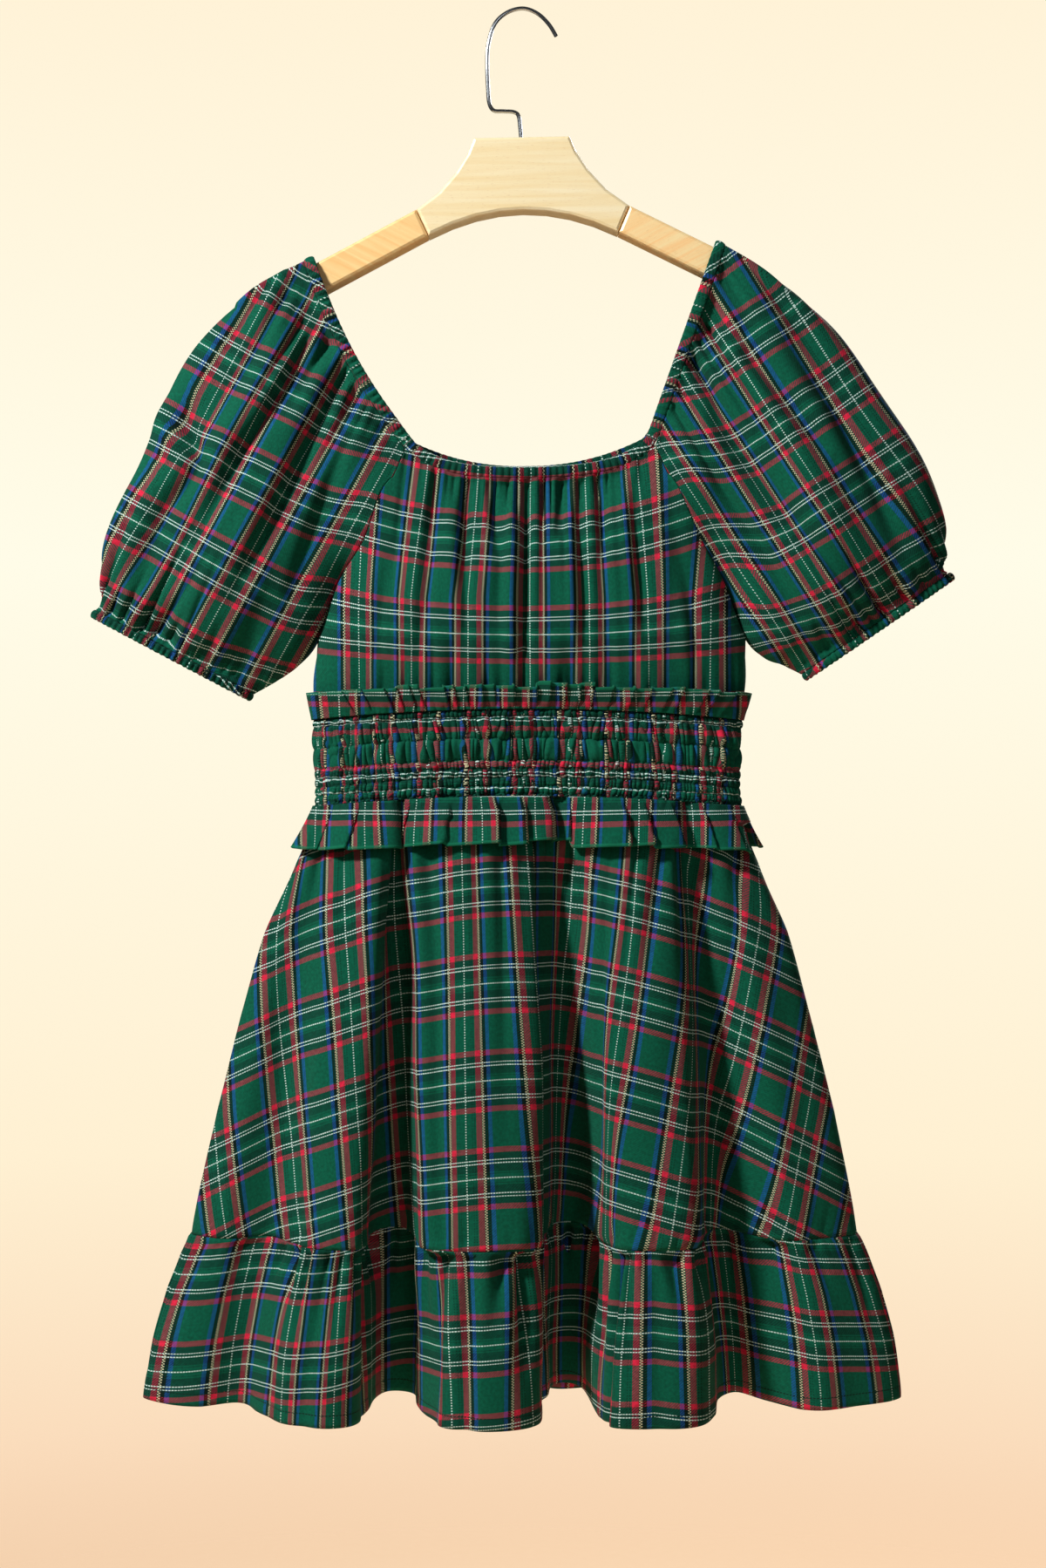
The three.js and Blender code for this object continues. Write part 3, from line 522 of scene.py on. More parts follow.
# %% [markdown]
# One function sews a piece. It starts from a flat bmesh grid, and each vertex of that grid moves to
# its place on the body. The flat cut goes into the UV map `cut`, and Solidify gives the cloth its
# thickness, half to each side. Each piece is also declared as a sheet with the size of its flat cut,
# so that what is modelled can be compared with what a maker would cut.

# %% Sew a sheet of cloth
def grid_mesh(name, points, cut, edge=None):
    rows, columns = points.shape[:2]
    sheet = bmesh.new()
    bmesh.ops.create_grid(sheet, x_segments=columns - 1, y_segments=rows - 1, size=1)
    flat = np.array([v.co[:2] for v in sheet.verts])
    mesh = bpy.data.meshes.new(name)
    sheet.to_mesh(mesh)
    sheet.free()
    i = np.rint((flat[:, 0] + 1) / 2 * (columns - 1)).astype(int)
    j = np.rint((1 - flat[:, 1]) / 2 * (rows - 1)).astype(int)
    mesh.vertices.foreach_set("co", (points[j, i] * MM).ravel())
    corner = np.zeros(len(mesh.loops), int)
    mesh.loops.foreach_get("vertex_index", corner)
    maps = {"cut": cut} if edge is None else {"cut": cut, "edge": edge}
    for key, values in maps.items():
        layer = mesh.uv_layers.new(name=key)
        layer.data.foreach_set("uv", (values[j, i] * MM)[corner].ravel())
    mesh.polygons.foreach_set("use_smooth", np.ones(len(mesh.polygons), bool))
    mesh.update()
    return mesh


def area_of(points):
    a, b = points[1:, 1:] - points[:-1, :-1], points[1:, :-1] - points[:-1, 1:]
    return float(np.linalg.norm(np.cross(a, b), axis=-1).sum() / 2)


def sew(name, points, cut, material, held, rests_on, wall=CLOTH, edge=None, slot="plaid_cotton", flat=None):
    label = name + "_cloth"
    piece = bpy.data.objects.new(label, grid_mesh(label, points, cut, edge))
    bpy.context.scene.collection.objects.link(piece)
    piece.data.materials.append(material)
    thicken = piece.modifiers.new("cloth thickness", "SOLIDIFY")
    thicken.thickness = wall * MM
    thicken.offset = 0
    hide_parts(name)
    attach(piece, "root")
    declare_cut(piece, points, cut, flat)
    return piece


sewn_area = []
LEAST_LENGTH, LEAST_AREA_SHARE = 0.0101, 0.31


def declare_cut(piece, points, cut, flat):
    if flat:
        width, length = flat
        area = width * length
    else:
        width, length = np.ptp(cut[..., 0]) * MM, max(np.ptp(cut[..., 1]) * MM, LEAST_LENGTH)
        mean_width = np.abs(np.diff(cut[..., 0], axis=1)).sum(1).mean() * MM
        mean_length = np.abs(np.diff(cut[..., 1], axis=0)).sum(0).mean() * MM
        least = LEAST_AREA_SHARE * width * length
        area = float(np.clip(mean_width * mean_length, least, width * length))
    sewn_area.append(area)
    modelled = area_of(points) * MM * MM / area
    print(f"{piece.name}: cut {width:.3f} x {length:.3f} m, {area:.4f} m2, modelled {modelled:.2f}")


# %% [markdown]
# The skirt front is one A-line panel that falls in three deep folds. Each point lies on a fold line of
# the table. Its height in the cloth sags towards the sides, because an A-line panel is cut on a curve,
# so the plaid's cross stripes droop there.

# %% Skirt shapes
def fold_x(at, z):
    body = body_at(z)
    start = body_at(np.where(z > SKIRT_SEAM, WAIST_BOTTOM, SKIRT_SEAM))
    end = body_at(np.where(z > SKIRT_SEAM, SKIRT_SEAM, HEM))
    span = [level["right"] - level["left"] for level in (start, body, end)]
    t = clamp((span[1] - span[0]) / (span[2] - span[0]))
    waist, seam, hem = (column(FRONT_FOLDS, k, at) for k in (AT_WAIST, AT_SEAM, AT_HEM))
    return np.where(z > SKIRT_SEAM, lerp(waist, seam, t), lerp(seam, hem, t))


def fold_share(z):
    return column(FOLD_GROWTH, 1, row_at(FOLD_GROWTH, z))


def front_skirt(at, z, out):
    body = body_at(z)
    half, middle = (body["right"] - body["left"]) / 2, (body["right"] + body["left"]) / 2
    place = fold_x(at, z)
    across = np.minimum(1, np.abs(place - middle) / half)
    bulge = np.maximum(0, 1 - across ** SIDE_ROUNDING) ** (1 / SIDE_ROUNDING)
    fold = column(FRONT_FOLDS, OUT, at) * fold_share(z)
    lift = VALLEY_LIFT * np.maximum(0, -fold) * clamp((WAIST_BOTTOM - z) / 150)
    x = middle + (place - middle) * (1 + out / half)
    y = -(SEAM_GAP + (body["front"] + out) * bulge + fold)
    return np.stack([x, y, z - body["drop"] * across ** 2 + lift], -1)


def fold_places(columns):
    dense = np.linspace(0, len(FRONT_FOLDS) - 1, 12 * len(FRONT_FOLDS))
    lengths = lengths_along(front_skirt(dense, np.full_like(dense, HEM), 0.0))
    return np.interp(np.linspace(0, lengths[-1], columns + 1), lengths, dense)


def body_row(face, z, out, columns):
    body = body_at(np.float64(z))
    half, middle = (body["right"] - body["left"]) / 2 + out, (body["right"] + body["left"]) / 2
    depth = (body["front"] if face < 0 else body["back"]) + out
    across = -np.cos(np.pi * np.linspace(0, 1, 161))
    bulge = np.maximum(0, 1 - np.abs(across) ** SIDE_ROUNDING) ** (1 / SIDE_ROUNDING)
    sag = body["drop"] * across ** 2
    line = np.stack([middle + half * across, face * (SEAM_GAP + depth * bulge), z - sag], -1)
    row = evenly(line, columns)
    return row[::-1] if face > 0 else row


def skirt_grid(face, heights, columns, out):
    if face < 0:
        at, z = np.meshgrid(fold_places(columns), heights)
        return front_skirt(at, z, out), at
    grid = np.stack([body_row(BACK, z, out, columns) for z in heights])
    u, _ = shares(grid)
    swell = BACK_FOLD_DEPTH * fold_share(heights)[:, None] * wave(u, BACK_FOLD_COUNT, 0.1)
    grid[..., 1] += swell * np.sin(np.pi * u) ** 0.5
    return grid, u


def unrolled(grid, fullness=1.0):
    """A guessed flat cut: lengths across each row from its middle, and down from the top."""
    across = lengths_along(grid)
    middle = across[:, -1:] / 2
    steps = np.linalg.norm(np.diff(grid, axis=0), axis=-1)
    down = np.concatenate([np.zeros((1, grid.shape[1])), np.cumsum(steps, 0)])
    return np.stack([(across - middle) * fullness, down], -1)


def side_fade(u, power=0.5):
    return np.sin(np.pi * clamp(u)) ** power


# %% Sew the skirt panels
DROOP, DROOP_REACH, DROOP_POWER, DROOP_MIDDLE = 46, 180, 1.8, -6
BACK_SKIRT_FULLNESS, SKIRT_LENGTH = 1.15, 331
SKIRT_WAIST_GATHERS = [(19, 4.6, 4.6, 100, 11, 0.05), (56, 6.5, 9.0, 320, 15, 0.06)]
SKIRT_SEAM_GATHERS = [(14, 2.6, 3.0, 24, 21, 0.1)]
SKIRT_TOP_LINE, SKIRT_CUT_TOP, SKIRT_CUT_SPAN = -658, -660, 255
SEAM_TUCK, SKIRT_HELD, FLOUNCE_HELD = 1.2, 7, 5


def skirt_cut(points, at):
    z = points[..., 2]
    t = (SKIRT_CUT_TOP - z) / SKIRT_CUT_SPAN
    across = lerp(column(FRONT_FOLDS, TOP_CUT, at), column(FRONT_FOLDS, SEAM_CUT, at), t)
    droop = DROOP * (np.abs(points[..., 0] - DROOP_MIDDLE) / DROOP_REACH) ** DROOP_POWER
    return np.stack([across * WARP_REPEAT, SKIRT_TOP_LINE - z - droop], -1)


skirt_heights = np.linspace(WAIST_BOTTOM - SEAM_GAP, SKIRT_SEAM + SEAM_GAP, 96)
for face, name, columns in ((FRONT, "skirt_front", 400), (BACK, "skirt_back", 220)):
    grid, at = skirt_grid(face, skirt_heights if face < 0 else skirt_heights[::2], columns, 0.0)
    cut = skirt_cut(grid, at) if face < 0 else unrolled(grid, BACK_SKIRT_FULLNESS)
    u, v = shares(grid)
    from_waist, from_seam = v * SKIRT_LENGTH, (1 - v) * SKIRT_LENGTH
    relief = gathers(cut[..., 0], from_waist, SKIRT_WAIST_GATHERS, face)
    relief += gathers(cut[..., 0], from_seam, SKIRT_SEAM_GATHERS, face)
    relief += rumple(cut[..., 0], cut[..., 1], 60, 1.1, 31 + face, 2.6)
    relief = lerp(-SEAM_TUCK, relief, smooth(from_seam / SKIRT_HELD))
    grid = relieve(grid, relief * side_fade(u))
    waist = "smocked_waist_front" if face < 0 else "smocked_waist_back"
    sew(name, grid, cut, PLAID, "gathered", [waist])

# %% [markdown]
# The flounce is a straight strip, about a quarter longer than the skirt's foot and gathered onto it.
# So its plaid is its own and doesn't meet the skirt's, its gathers are deepest near the seam, and its
# hem hangs almost smooth, with a narrow turned-up edge. At the seam itself both pieces are held down
# to the same small tuck, so that their edges stay together.

# %% Sew the flounce
FLOUNCE_LINE = -990.7
BACK_FLOUNCE_FULLNESS, FLOUNCE_LENGTH = 1.35, 127
FLOUNCE_GATHERS = [
    (30, 11.0, 6.5, 60, 41, 0.16), (11, 4.0, 3.0, 17, 51, 0.12), (60, 8.0, 11.0, 170, 55, 0.08),
]
FLOUNCE_DROP = ([-285, -141, -50, 94, 212, 284], [33, 18, 0, -10, 4, 10])
HEM_SWELL, FLOUNCE_OUT = 0.35, 0.3
flounce_heights = np.linspace(SKIRT_SEAM - SEAM_GAP, HEM, 40)
for face, name, columns in ((FRONT, "flounce_front", 430), (BACK, "flounce_back", 260)):
    heights = flounce_heights if face < 0 else flounce_heights[::2]
    grid, at = skirt_grid(face, heights, columns, FLOUNCE_OUT)
    u, v = shares(grid)
    from_seam, from_hem = v * FLOUNCE_LENGTH, (1 - v) * FLOUNCE_LENGTH
    if face < 0:
        across = column(FRONT_FOLDS, FLOUNCE_CUT, at) * WARP_REPEAT
        cut = np.stack([across, FLOUNCE_LINE - grid[..., 2] - through(grid[..., 0], *FLOUNCE_DROP)], -1)
    else:
        cut = unrolled(grid, BACK_FLOUNCE_FULLNESS)
    relief = gathers(cut[..., 0], from_seam, FLOUNCE_GATHERS, face)
    relief += rumple(cut[..., 0], cut[..., 1], 48, 1.0, 61 + face, 2.2)
    relief = lerp(-SEAM_TUCK, relief, smooth(from_seam / FLOUNCE_HELD))
    turned_up = np.exp(-((from_hem - HEM_DEPTH / 2) / 3.4) ** 2)
    stitch_line = np.exp(-((from_hem - HEM_DEPTH) / 0.9) ** 2)
    relief += HEM_SWELL * turned_up - HEM_SWELL * stitch_line
    grid = relieve(grid, relief * side_fade(u))
    edge = np.stack([lengths_along(grid), from_hem], -1)
    sew(name, grid, cut, HEMMED, "gathered", ["skirt_front" if face < 0 else "skirt_back"], edge=edge)

# %% [markdown]
# The raglan sleeves are puffed shells round the shoulder. Going round from the front seam over the
# outer fold to the back seam, a rounded box shape near the neck turns into an oval at the cuff.
# Below the underarm both edges of the shell meet in the sleeve's own seam.

# %% Sleeve shapes
def sleeve_open(section):
    return 1 - smooth((section - 0.7) / (UNDERARM_SECTION - 0.7))


def sleeve_point(side, around, section):
    body_x, body_z, out_x, out_z, puff = (
        column(SLEEVES[side], k, section) for k in range(len(SLEEVE_KEYS))
    )
    opened = sleeve_open(section)
    angle = around * np.pi / 2
    power = 2 / lerp(SLEEVE_TOP_ROUNDING, SLEEVE_ROUNDING, smooth(section / 3))
    flat = opened * np.maximum(0, np.cos(angle)) ** power + (1 - opened) * np.cos(angle) ** 2
    rise = np.where(around > 0, BACK_NECK_RISE * clamp(1 - section / 2), 0)
    share = lerp(rise, 1, flat)
    depth = opened * np.sign(around) * np.abs(np.sin(angle)) ** power + (1 - opened) * np.sin(2 * angle)
    shallow = np.where(around > 0, lerp(1, BACK_SHARE, smooth(section / 3)), 1)
    width, height = out_x - body_x, out_z - body_z
    bow = NECK_BOW[side] * np.sin(np.pi * share) * clamp(1 - section / 2) / np.hypot(width, height)
    x, z = body_x + width * share - bow * height, body_z + height * share + bow * width
    return np.stack([x, puff * depth * shallow, z], -1)


def sleeve_end(section):
    """The sleeve's two edges stop just short of each other below the underarm."""
    return lerp(0.996, 1, sleeve_open(section) ** 0.25)


def sleeve_row(side, section, count):
    around = sleeve_end(section) * np.linspace(-1, 1, 321)
    return evenly(sleeve_point(side, around, np.full_like(around, section)), count)


def picture_mm(points):
    across, row = seen(points)
    return (across - MIDDLE_COLUMN) * PIXEL, (ORIGIN_ROW - row) * PIXEL


# %% [markdown]
# The sleeves are cut on their own grain: the warp runs from the neck to the cuff, along the sleeve.
# `WARP_WAY` is that direction in the picture, and `WHITES` says where the white warp lines lie, in
# millimetres across it.
# Past the last white line, and over the back, the plaid goes on by the cloth's own length.

# %% Sleeve cut and folds
WARP_WAY = {"left": (-0.48, -0.877), "right": (0.54, -0.842)}
WEFT_WAY = {"left": (0.877, -0.48), "right": (0.842, 0.54)}
WHITES = {"left": [74.1, 15.7, -29.9, -66.0], "right": [-89.4, -46.2, -6.9, 53.5]}
FIRST_WEFT = {"left": 336.9, "right": 298.0}
SEAM_RISE = {"left": (12, 30), "right": (25, 40)}
# Picture columns and rows of the main creases, then their width and depth
SLEEVE_CREASES = {
    "left": [
        (((360, 388), (340, 430), (282, 514), (253, 566), (188, 680)), 8.0, 11.0),
        (((217, 459), (210, 485), (230, 531), (188, 583), (149, 674)), 7.0, 8.0),
        (((395, 400), (372, 470), (330, 560), (262, 700)), 7.0, 7.0),
        (((420, 440), (392, 520), (360, 610), (330, 700)), 6.0, 6.0),
    ],
    "right": [
        (((798, 417), (827, 482), (860, 534), (902, 592), (997, 683)), 8.0, 11.0),
        (((844, 361), (863, 410), (902, 462), (950, 520)), 6.5, 8.0),
        (((790, 470), (830, 560), (880, 640), (930, 720)), 7.0, 7.0),
        (((900, 380), (960, 470), (1010, 560), (1040, 640)), 7.0, 5.5),
    ],
}


def sleeve_cut(side, grid):
    x, z = picture_mm(grid)
    a = x * WEFT_WAY[side][0] + z * WEFT_WAY[side][1]
    b = x * WARP_WAY[side][0] + z * WARP_WAY[side][1]
    way = -1 if side == "left" else 1
    marks = np.array(WHITES[side]) * way
    steps = np.hypot(np.diff(a, axis=1), np.diff(grid[..., 1], axis=1)) / WARP_REPEAT
    measured = np.diff(through(a * way, marks, np.arange(4.0)), axis=1)
    front = (grid[:, :-1, 1] < 0) & (a[:, :-1] * way < marks[-1]) & (measured > 0)
    first = through(a[:, :1] * way, marks, np.arange(4.0))
    n = np.concatenate([first, first + np.cumsum(np.where(front, measured, steps), axis=1)], axis=1)
    rise, reach = SEAM_RISE[side]
    from_seam = lengths_along(grid)
    down = b - FIRST_WEFT[side] + rise * np.exp(-((from_seam / reach) ** 2))
    return np.stack([n * WARP_REPEAT, down], -1)


# %% Sew the sleeves
SLEEVE_COLUMNS, SLEEVE_ROW_COUNT = 290, 84
SLEEVE_NECK_GATHERS = [(21, 8.0, 5.6, 78, 71, 0.06), (9, 3.8, 2.6, 22, 75, 0.05)]
SLEEVE_CUFF_GATHERS = [(19, 8.5, 5.4, 50, 81, 0.14), (8, 3.4, 2.4, 15, 91, 0.1)]
# The wooden arms end inside the sleeves, and no pinch goes deep enough to touch them.
ARM_END = {"left": (-170, -206), "right": (170, -202)}
ARM_END_REACH, ARM_FADE, ARM_CLEARANCE, FREE_DEPTH = 48, 15, 12.8, 60
sleeve_rows = LAST_SECTION * np.linspace(0, 1, SLEEVE_ROW_COUNT)
sleeve_tops, sleeve_feet = {}, {}
for side in ("left", "right"):
    grid = np.stack([sleeve_row(side, section, SLEEVE_COLUMNS) for section in sleeve_rows])
    cut = sleeve_cut(side, grid)
    sleeve_tops[side], sleeve_feet[side] = (grid[0], cut[0]), (grid[-1], cut[-1])
    u, v = shares(grid)
    down = np.cumsum(np.linalg.norm(np.diff(grid, axis=0, prepend=grid[:1]), axis=-1), axis=0)
    from_neck, from_cuff = down, down[-1:] - down
    relief = 4.5 * wave(u + 0.12 * v, 4) * np.sin(np.pi * v)
    relief += 1.6 * wave(u, 9) * (0.6 * smooth(1 - v / 0.22) + smooth((v - 1) / 0.22 + 1))
    relief += gathers(cut[..., 0], from_neck, SLEEVE_NECK_GATHERS)
    relief += gathers(cut[..., 0], from_cuff, SLEEVE_CUFF_GATHERS)
    relief += rumple(cut[..., 0], cut[..., 1], 56, 1.8, 101, 1.8)
    front = smooth(-grid[..., 1] / 10)
    relief += front * seen_creases(grid, SLEEVE_CREASES[side])
    ends = np.minimum(1, np.minimum(from_neck, from_cuff) / SEAM_REACH + SEAM_SHARE)
    if side == "left":
        grid, cut, relief, u, ends = (x[:, ::-1] for x in (grid, cut, relief, u, ends))
    from_arm = np.hypot(grid[..., 0] - ARM_END[side][0], grid[..., 2] - ARM_END[side][1])
    beyond_arm = smooth((from_arm - ARM_END_REACH) / ARM_FADE)
    deepest = -np.maximum(0, np.abs(grid[..., 1]) - ARM_CLEARANCE) - FREE_DEPTH * beyond_arm
    grid = relieve(grid, np.maximum(relief * side_fade(u) * ends, deepest))
    sew(f"sleeve_{side}", grid, cut, PLAID, "hung", ["hanger_arm_" + side])

# %% [markdown]
# The bodice panels fill the space between the sleeves. Their side edges are the sleeves' raglan seams
# with a seam's gap, and their top edge dips for the scoop neck and is gathered into the casing.

# %% Bodice shapes
RAGLAN_END = UNDERARM_SECTION
RAGLAN_GAP, UNDERARM_GAP = 0.5, 1.2
FRONT_BELLY, BACK_BELLY = (22, 40), (15, 23)
BELOW_UNDERARM = -486


def bodice_row(face, left, right, belly, opened, dip, columns):
    across = -np.cos(np.pi * np.linspace(0, 1, 161))
    edge = max(abs(left[1]), abs(right[1]))
    flat = 1 - across * across
    bulge = np.maximum(0, 1 - np.abs(across) ** SIDE_ROUNDING) ** (1 / SIDE_ROUNDING)
    out = edge + (belly - edge) * lerp(bulge, flat, opened)
    share = (across + 1) / 2
    sag = dip * (1 - np.abs(across) ** (FRONT_DIP_ROUNDING if face < 0 else BACK_DIP_ROUNDING))
    line = np.stack([lerp(left[0], right[0], share), face * out, lerp(left[2], right[2], share) - sag], -1)
    return evenly(line, columns)


def bodice_grid(face, columns, raglan_rows, side_rows):
    dip = FRONT_NECK_DIP if face < 0 else BACK_NECK_DIP
    rows = []
    for section in np.linspace(0, RAGLAN_END, raglan_rows):
        opened = float(sleeve_open(section))
        ends = []
        for side, inward in (("left", 1), ("right", -1)):
            end = sleeve_point(side, np.array(face * sleeve_end(section)), np.array(section))
            ends.append(end + [inward * lerp(RAGLAN_GAP, UNDERARM_GAP, 1 - opened), 0, 0])
        down = section / RAGLAN_END
        belly = lerp(*FRONT_BELLY, smooth(down * 1.4)) if face < 0 else lerp(*BACK_BELLY, down)
        rows.append(bodice_row(face, *ends, belly, opened, dip * (1 - down) ** 2, columns))
    for z in np.linspace(BELOW_UNDERARM, WAIST_TOP + EDGE_GAP, side_rows):
        body = {key: float(value) for key, value in body_at(np.float64(z)).items()}
        ends = [(body[key], face * SEAM_GAP, z - body["drop"]) for key in ("left", "right")]
        belly = body["front"] if face < 0 else body["back"]
        rows.append(bodice_row(face, *ends, belly, 0, -body["drop"], columns))
    grid = np.stack(rows)
    return grid[:, ::-1] if face > 0 else grid


# %% Bodice cut: where the white lines of the plaid lie in the picture
HIGH_ROW, LOW_ROW = 550, 685
HIGH_WHITES = ([473, 489, 548.4, 609.2, 672, 732, 755], [0.774, 1, 2, 3, 4, 5, 5.226])
LOW_WHITES = ([395.5, 411.8, 472, 537, 608.6, 676.9, 744.2, 815], [-0.226, 0, 1, 2, 3, 4, 5, 6])
UPPER_WEFT_ROW, LOWER_WEFT_ROW = 623.3, 728.4
WEFT_RISE = ([530, 623, 728, 800], [20, 14, 5, 2])
BODICE_CREASES = [
    (((532, 545), (532, 600), (534, 680), (536, 740)), 5.0, 6.0),
    (((600, 545), (601, 600), (600, 690), (598, 760)), 5.0, 6.5),
    (((664, 545), (664, 600), (668, 680), (672, 740)), 5.2, 6.5),
    (((692, 545), (693, 590), (696, 640)), 4.0, 4.2),
    (((727, 545), (729, 600), (736, 680), (740, 740)), 5.0, 6.0),
    (((566, 545), (567, 590), (569, 640)), 4.0, 4.4),
    (((500, 540), (497, 600), (490, 680), (482, 750)), 5.0, 5.0),
    (((640, 545), (641, 585), (641, 620)), 3.6, 4.0),
    (((452, 600), (440, 680), (432, 760)), 5.5, 4.2),
    (((780, 600), (790, 680), (800, 760)), 5.5, 4.2),
]


def bodice_cut(points):
    across, row = seen(points)
    t = np.clip((row - HIGH_ROW) / (LOW_ROW - HIGH_ROW), -0.4, 1)
    n = lerp(through(across, *HIGH_WHITES), through(across, *LOW_WHITES), t)
    rise = np.interp(row, *WEFT_RISE) * (points[..., 0] / 110) ** 2
    down = (row - UPPER_WEFT_ROW) / (LOWER_WEFT_ROW - UPPER_WEFT_ROW) * WEFT_REPEAT
    return np.stack([n * WARP_REPEAT, down + rise], -1)


# %% Sew the bodice
BODICE_NECK_GATHERS = [(11, 4.4, 3.0, 26, 111, 0.03), (30, 5.4, 6.0, 150, 121, 0.02)]
BODICE_WAIST_GATHERS = [(19, 3.4, 4.6, 52, 131, 0.05)]
BACK_BODICE_FULLNESS = 1.1
bodice_tops = {}
for face, name, columns, rows in ((FRONT, "bodice_front", 250, 66), (BACK, "bodice_back", 170, 44)):
    grid = bodice_grid(face, columns, rows, 12)
    cut = bodice_cut(grid) if face < 0 else unrolled(grid, BACK_BODICE_FULLNESS)
    u, v = shares(grid)
    from_neck = np.cumsum(np.linalg.norm(np.diff(grid, axis=0, prepend=grid[:1]), axis=-1), axis=0)
    from_waist = from_neck[-1:] - from_neck
    relief = gathers(cut[..., 0], from_neck, BODICE_NECK_GATHERS, face)
    relief += gathers(cut[..., 0], from_waist, BODICE_WAIST_GATHERS, face)
    relief += rumple(cut[..., 0], cut[..., 1], 44, 0.5, 141 + face, 2.4)
    if face < 0:
        relief += seen_creases(grid, BODICE_CREASES)
    ends = np.minimum(1, from_neck / SEAM_REACH + SEAM_SHARE)
    bodice_tops[face] = (grid[0], cut[0])
    grid = relieve(grid, relief * side_fade(u) * ends)
    sew(name, grid, cut, PLAID, "hung", ["neck_casing"])

# %% [markdown]
# The waist is shirred: rows of elastic thread on the inside pull the cloth in, so it stands in upright
# ribs between the rows and dips at each row. The ribs are drawn where the cloth has them, uneven in
# width, and they lean and jump a little from row to row.

# %% Sew the smocked waist
ELASTIC_ROWS = [-520.0, -527.5, -533.0, -549.0, -565.0, -571.5, -578.0, -584.5, -590.5, -600.0]
WAIST_WHITES = ([401.8, 438.5, 491, 547.7, 600, 654, 708, 762, 816], [0, 1, 2, 3, 4, 5, 6, 7, 8])
WAIST_WEFT_ROW, WAIST_WEFT_NEXT = 808, 904.4
RIB_DEPTH, ROW_DIP = 1.8, 0.7
WAIST_DROOP, WAIST_REACH = 4.8, 155
NARROW_RIB, WIDE_RIB, BACK_SMOCK_FULLNESS = 3.6, 5.2, 1.7
SMOCKED_BANDS = [(FRONT, "smocked_waist_front", 500, 70), (BACK, "smocked_waist_back", 360, 44)]
for face, name, columns, rows in SMOCKED_BANDS:
    heights = np.linspace(WAIST_TOP - EDGE_GAP, WAIST_BOTTOM + EDGE_GAP, rows)
    grid = np.stack([body_row(face, z, BAND_OUT, columns) for z in heights])
    u, v = shares(grid)
    if face < 0:
        across, row = seen(grid)
        n = through(across, *WAIST_WHITES)
        droop = WAIST_DROOP * (np.abs(grid[..., 0]) / WAIST_REACH) ** 2
        down = (row - WAIST_WEFT_ROW) / (WAIST_WEFT_NEXT - WAIST_WEFT_ROW) * WEFT_REPEAT
        cut = np.stack([n * WARP_REPEAT, down - droop], -1)
    else:
        cut = unrolled(grid, BACK_SMOCK_FULLNESS)
    width = lengths_along(grid)
    height = heights[:, None] + 0 * u
    relief, crinkle = np.zeros_like(u), np.zeros_like(u)
    for k, (top, foot) in enumerate(zip(ELASTIC_ROWS, ELASTIC_ROWS[1:])):
        between = clamp((top - height) / (top - foot))
        inside = (height <= top) & (height > foot)
        pitch = lerp(NARROW_RIB, WIDE_RIB, smooth((top - foot - 6) / 9))
        phase = width / pitch + rumple(width, height, 16, 0.65, 151 + 7 * k + face, 3.0)
        lens = np.abs(np.sin(np.pi * phase)) ** 0.7 * (0.35 + 0.65 * np.sin(np.pi * between) ** 0.7)
        strength = np.maximum(0.35, 0.95 + rumple(width, height, 11, 0.4, 171 + 7 * k + face, 5.0))
        fuller = lerp(0.75, 1.2, (pitch - NARROW_RIB) / (WIDE_RIB - NARROW_RIB))
        relief += inside * 2 * RIB_DEPTH * strength * lens * fuller
        crinkle += inside * np.sin(2 * np.pi * phase)
    stitch = sum(np.exp(-(((height - z) / 1.1) ** 2)) for z in ELASTIC_ROWS)
    relief += -RIB_DEPTH - ROW_DIP * stitch + 0.45 * np.cos(2 * np.pi * width / 3.1) * stitch
    relief += 0.5 * np.sin(np.pi * v) ** 0.5
    grid = relieve(grid, relief * (0.25 + 0.75 * side_fade(u, 0.3)))
    wander = rumple(width, height, 7, 1.0, 199, 1.0)
    wrinkled = np.stack([cut[..., 0] + 1.5 * crinkle, cut[..., 1] + 0.6 * wander], -1)
    flat = (float(np.ptp(cut[..., 0])) * MM, float(np.ptp(cut[..., 1])) * MM)
    bound = ["bodice_front" if face < 0 else "bodice_back"]
    sew(name, grid, wrinkled, PLAID, "gathered", bound, wall=SMOCKED_WALL, flat=flat)

# %% [markdown]
# Above and below the elastic the cloth is free again and stands off as two frills. Each has flat runs
# with sharp pleats between them: a run climbs slowly away from the body, laps over the next one and
# steps back in under it, which `pleats` draws. The free edge rises and falls with the pleats, and it
# is serged.

# %% Pleats of the frills
def evened(directions, reach):
    """Directions averaged along each row, so that a frill stands off the body, not off each fold."""
    weights = np.hanning(2 * reach + 1)
    padded = np.pad(directions, ((0, 0), (reach, reach), (0, 0)), mode="edge")
    mean = np.apply_along_axis(lambda line: np.convolve(line, weights, "valid"), 1, padded)
    return mean / np.linalg.norm(mean, axis=-1, keepdims=True)


def pleats(along, run, seed):
    """Flat runs that end in a sharp step back. Gives how far each run stands off, and its own level."""
    dice = np.random.default_rng(seed)
    height, level = np.zeros_like(along), np.zeros_like(along)
    place = float(along.min()) - run * dice.uniform(0.2, 0.8)
    while place < float(along.max()):
        own = run * dice.uniform(0.55, 1.45)
        t = (along - place) / own
        shown = smooth(t * own / 1.2) * (1 - smooth((t - 1) * own / 1.2 + 1))
        height += shown * dice.uniform(0.6, 1.0) * lerp(0.25, 1.0, clamp(t) ** 1.5)
        level += shown * dice.uniform(-1.0, 1.0) + shown * 0.5 * (t - 0.5)
        place += own
    return height, level


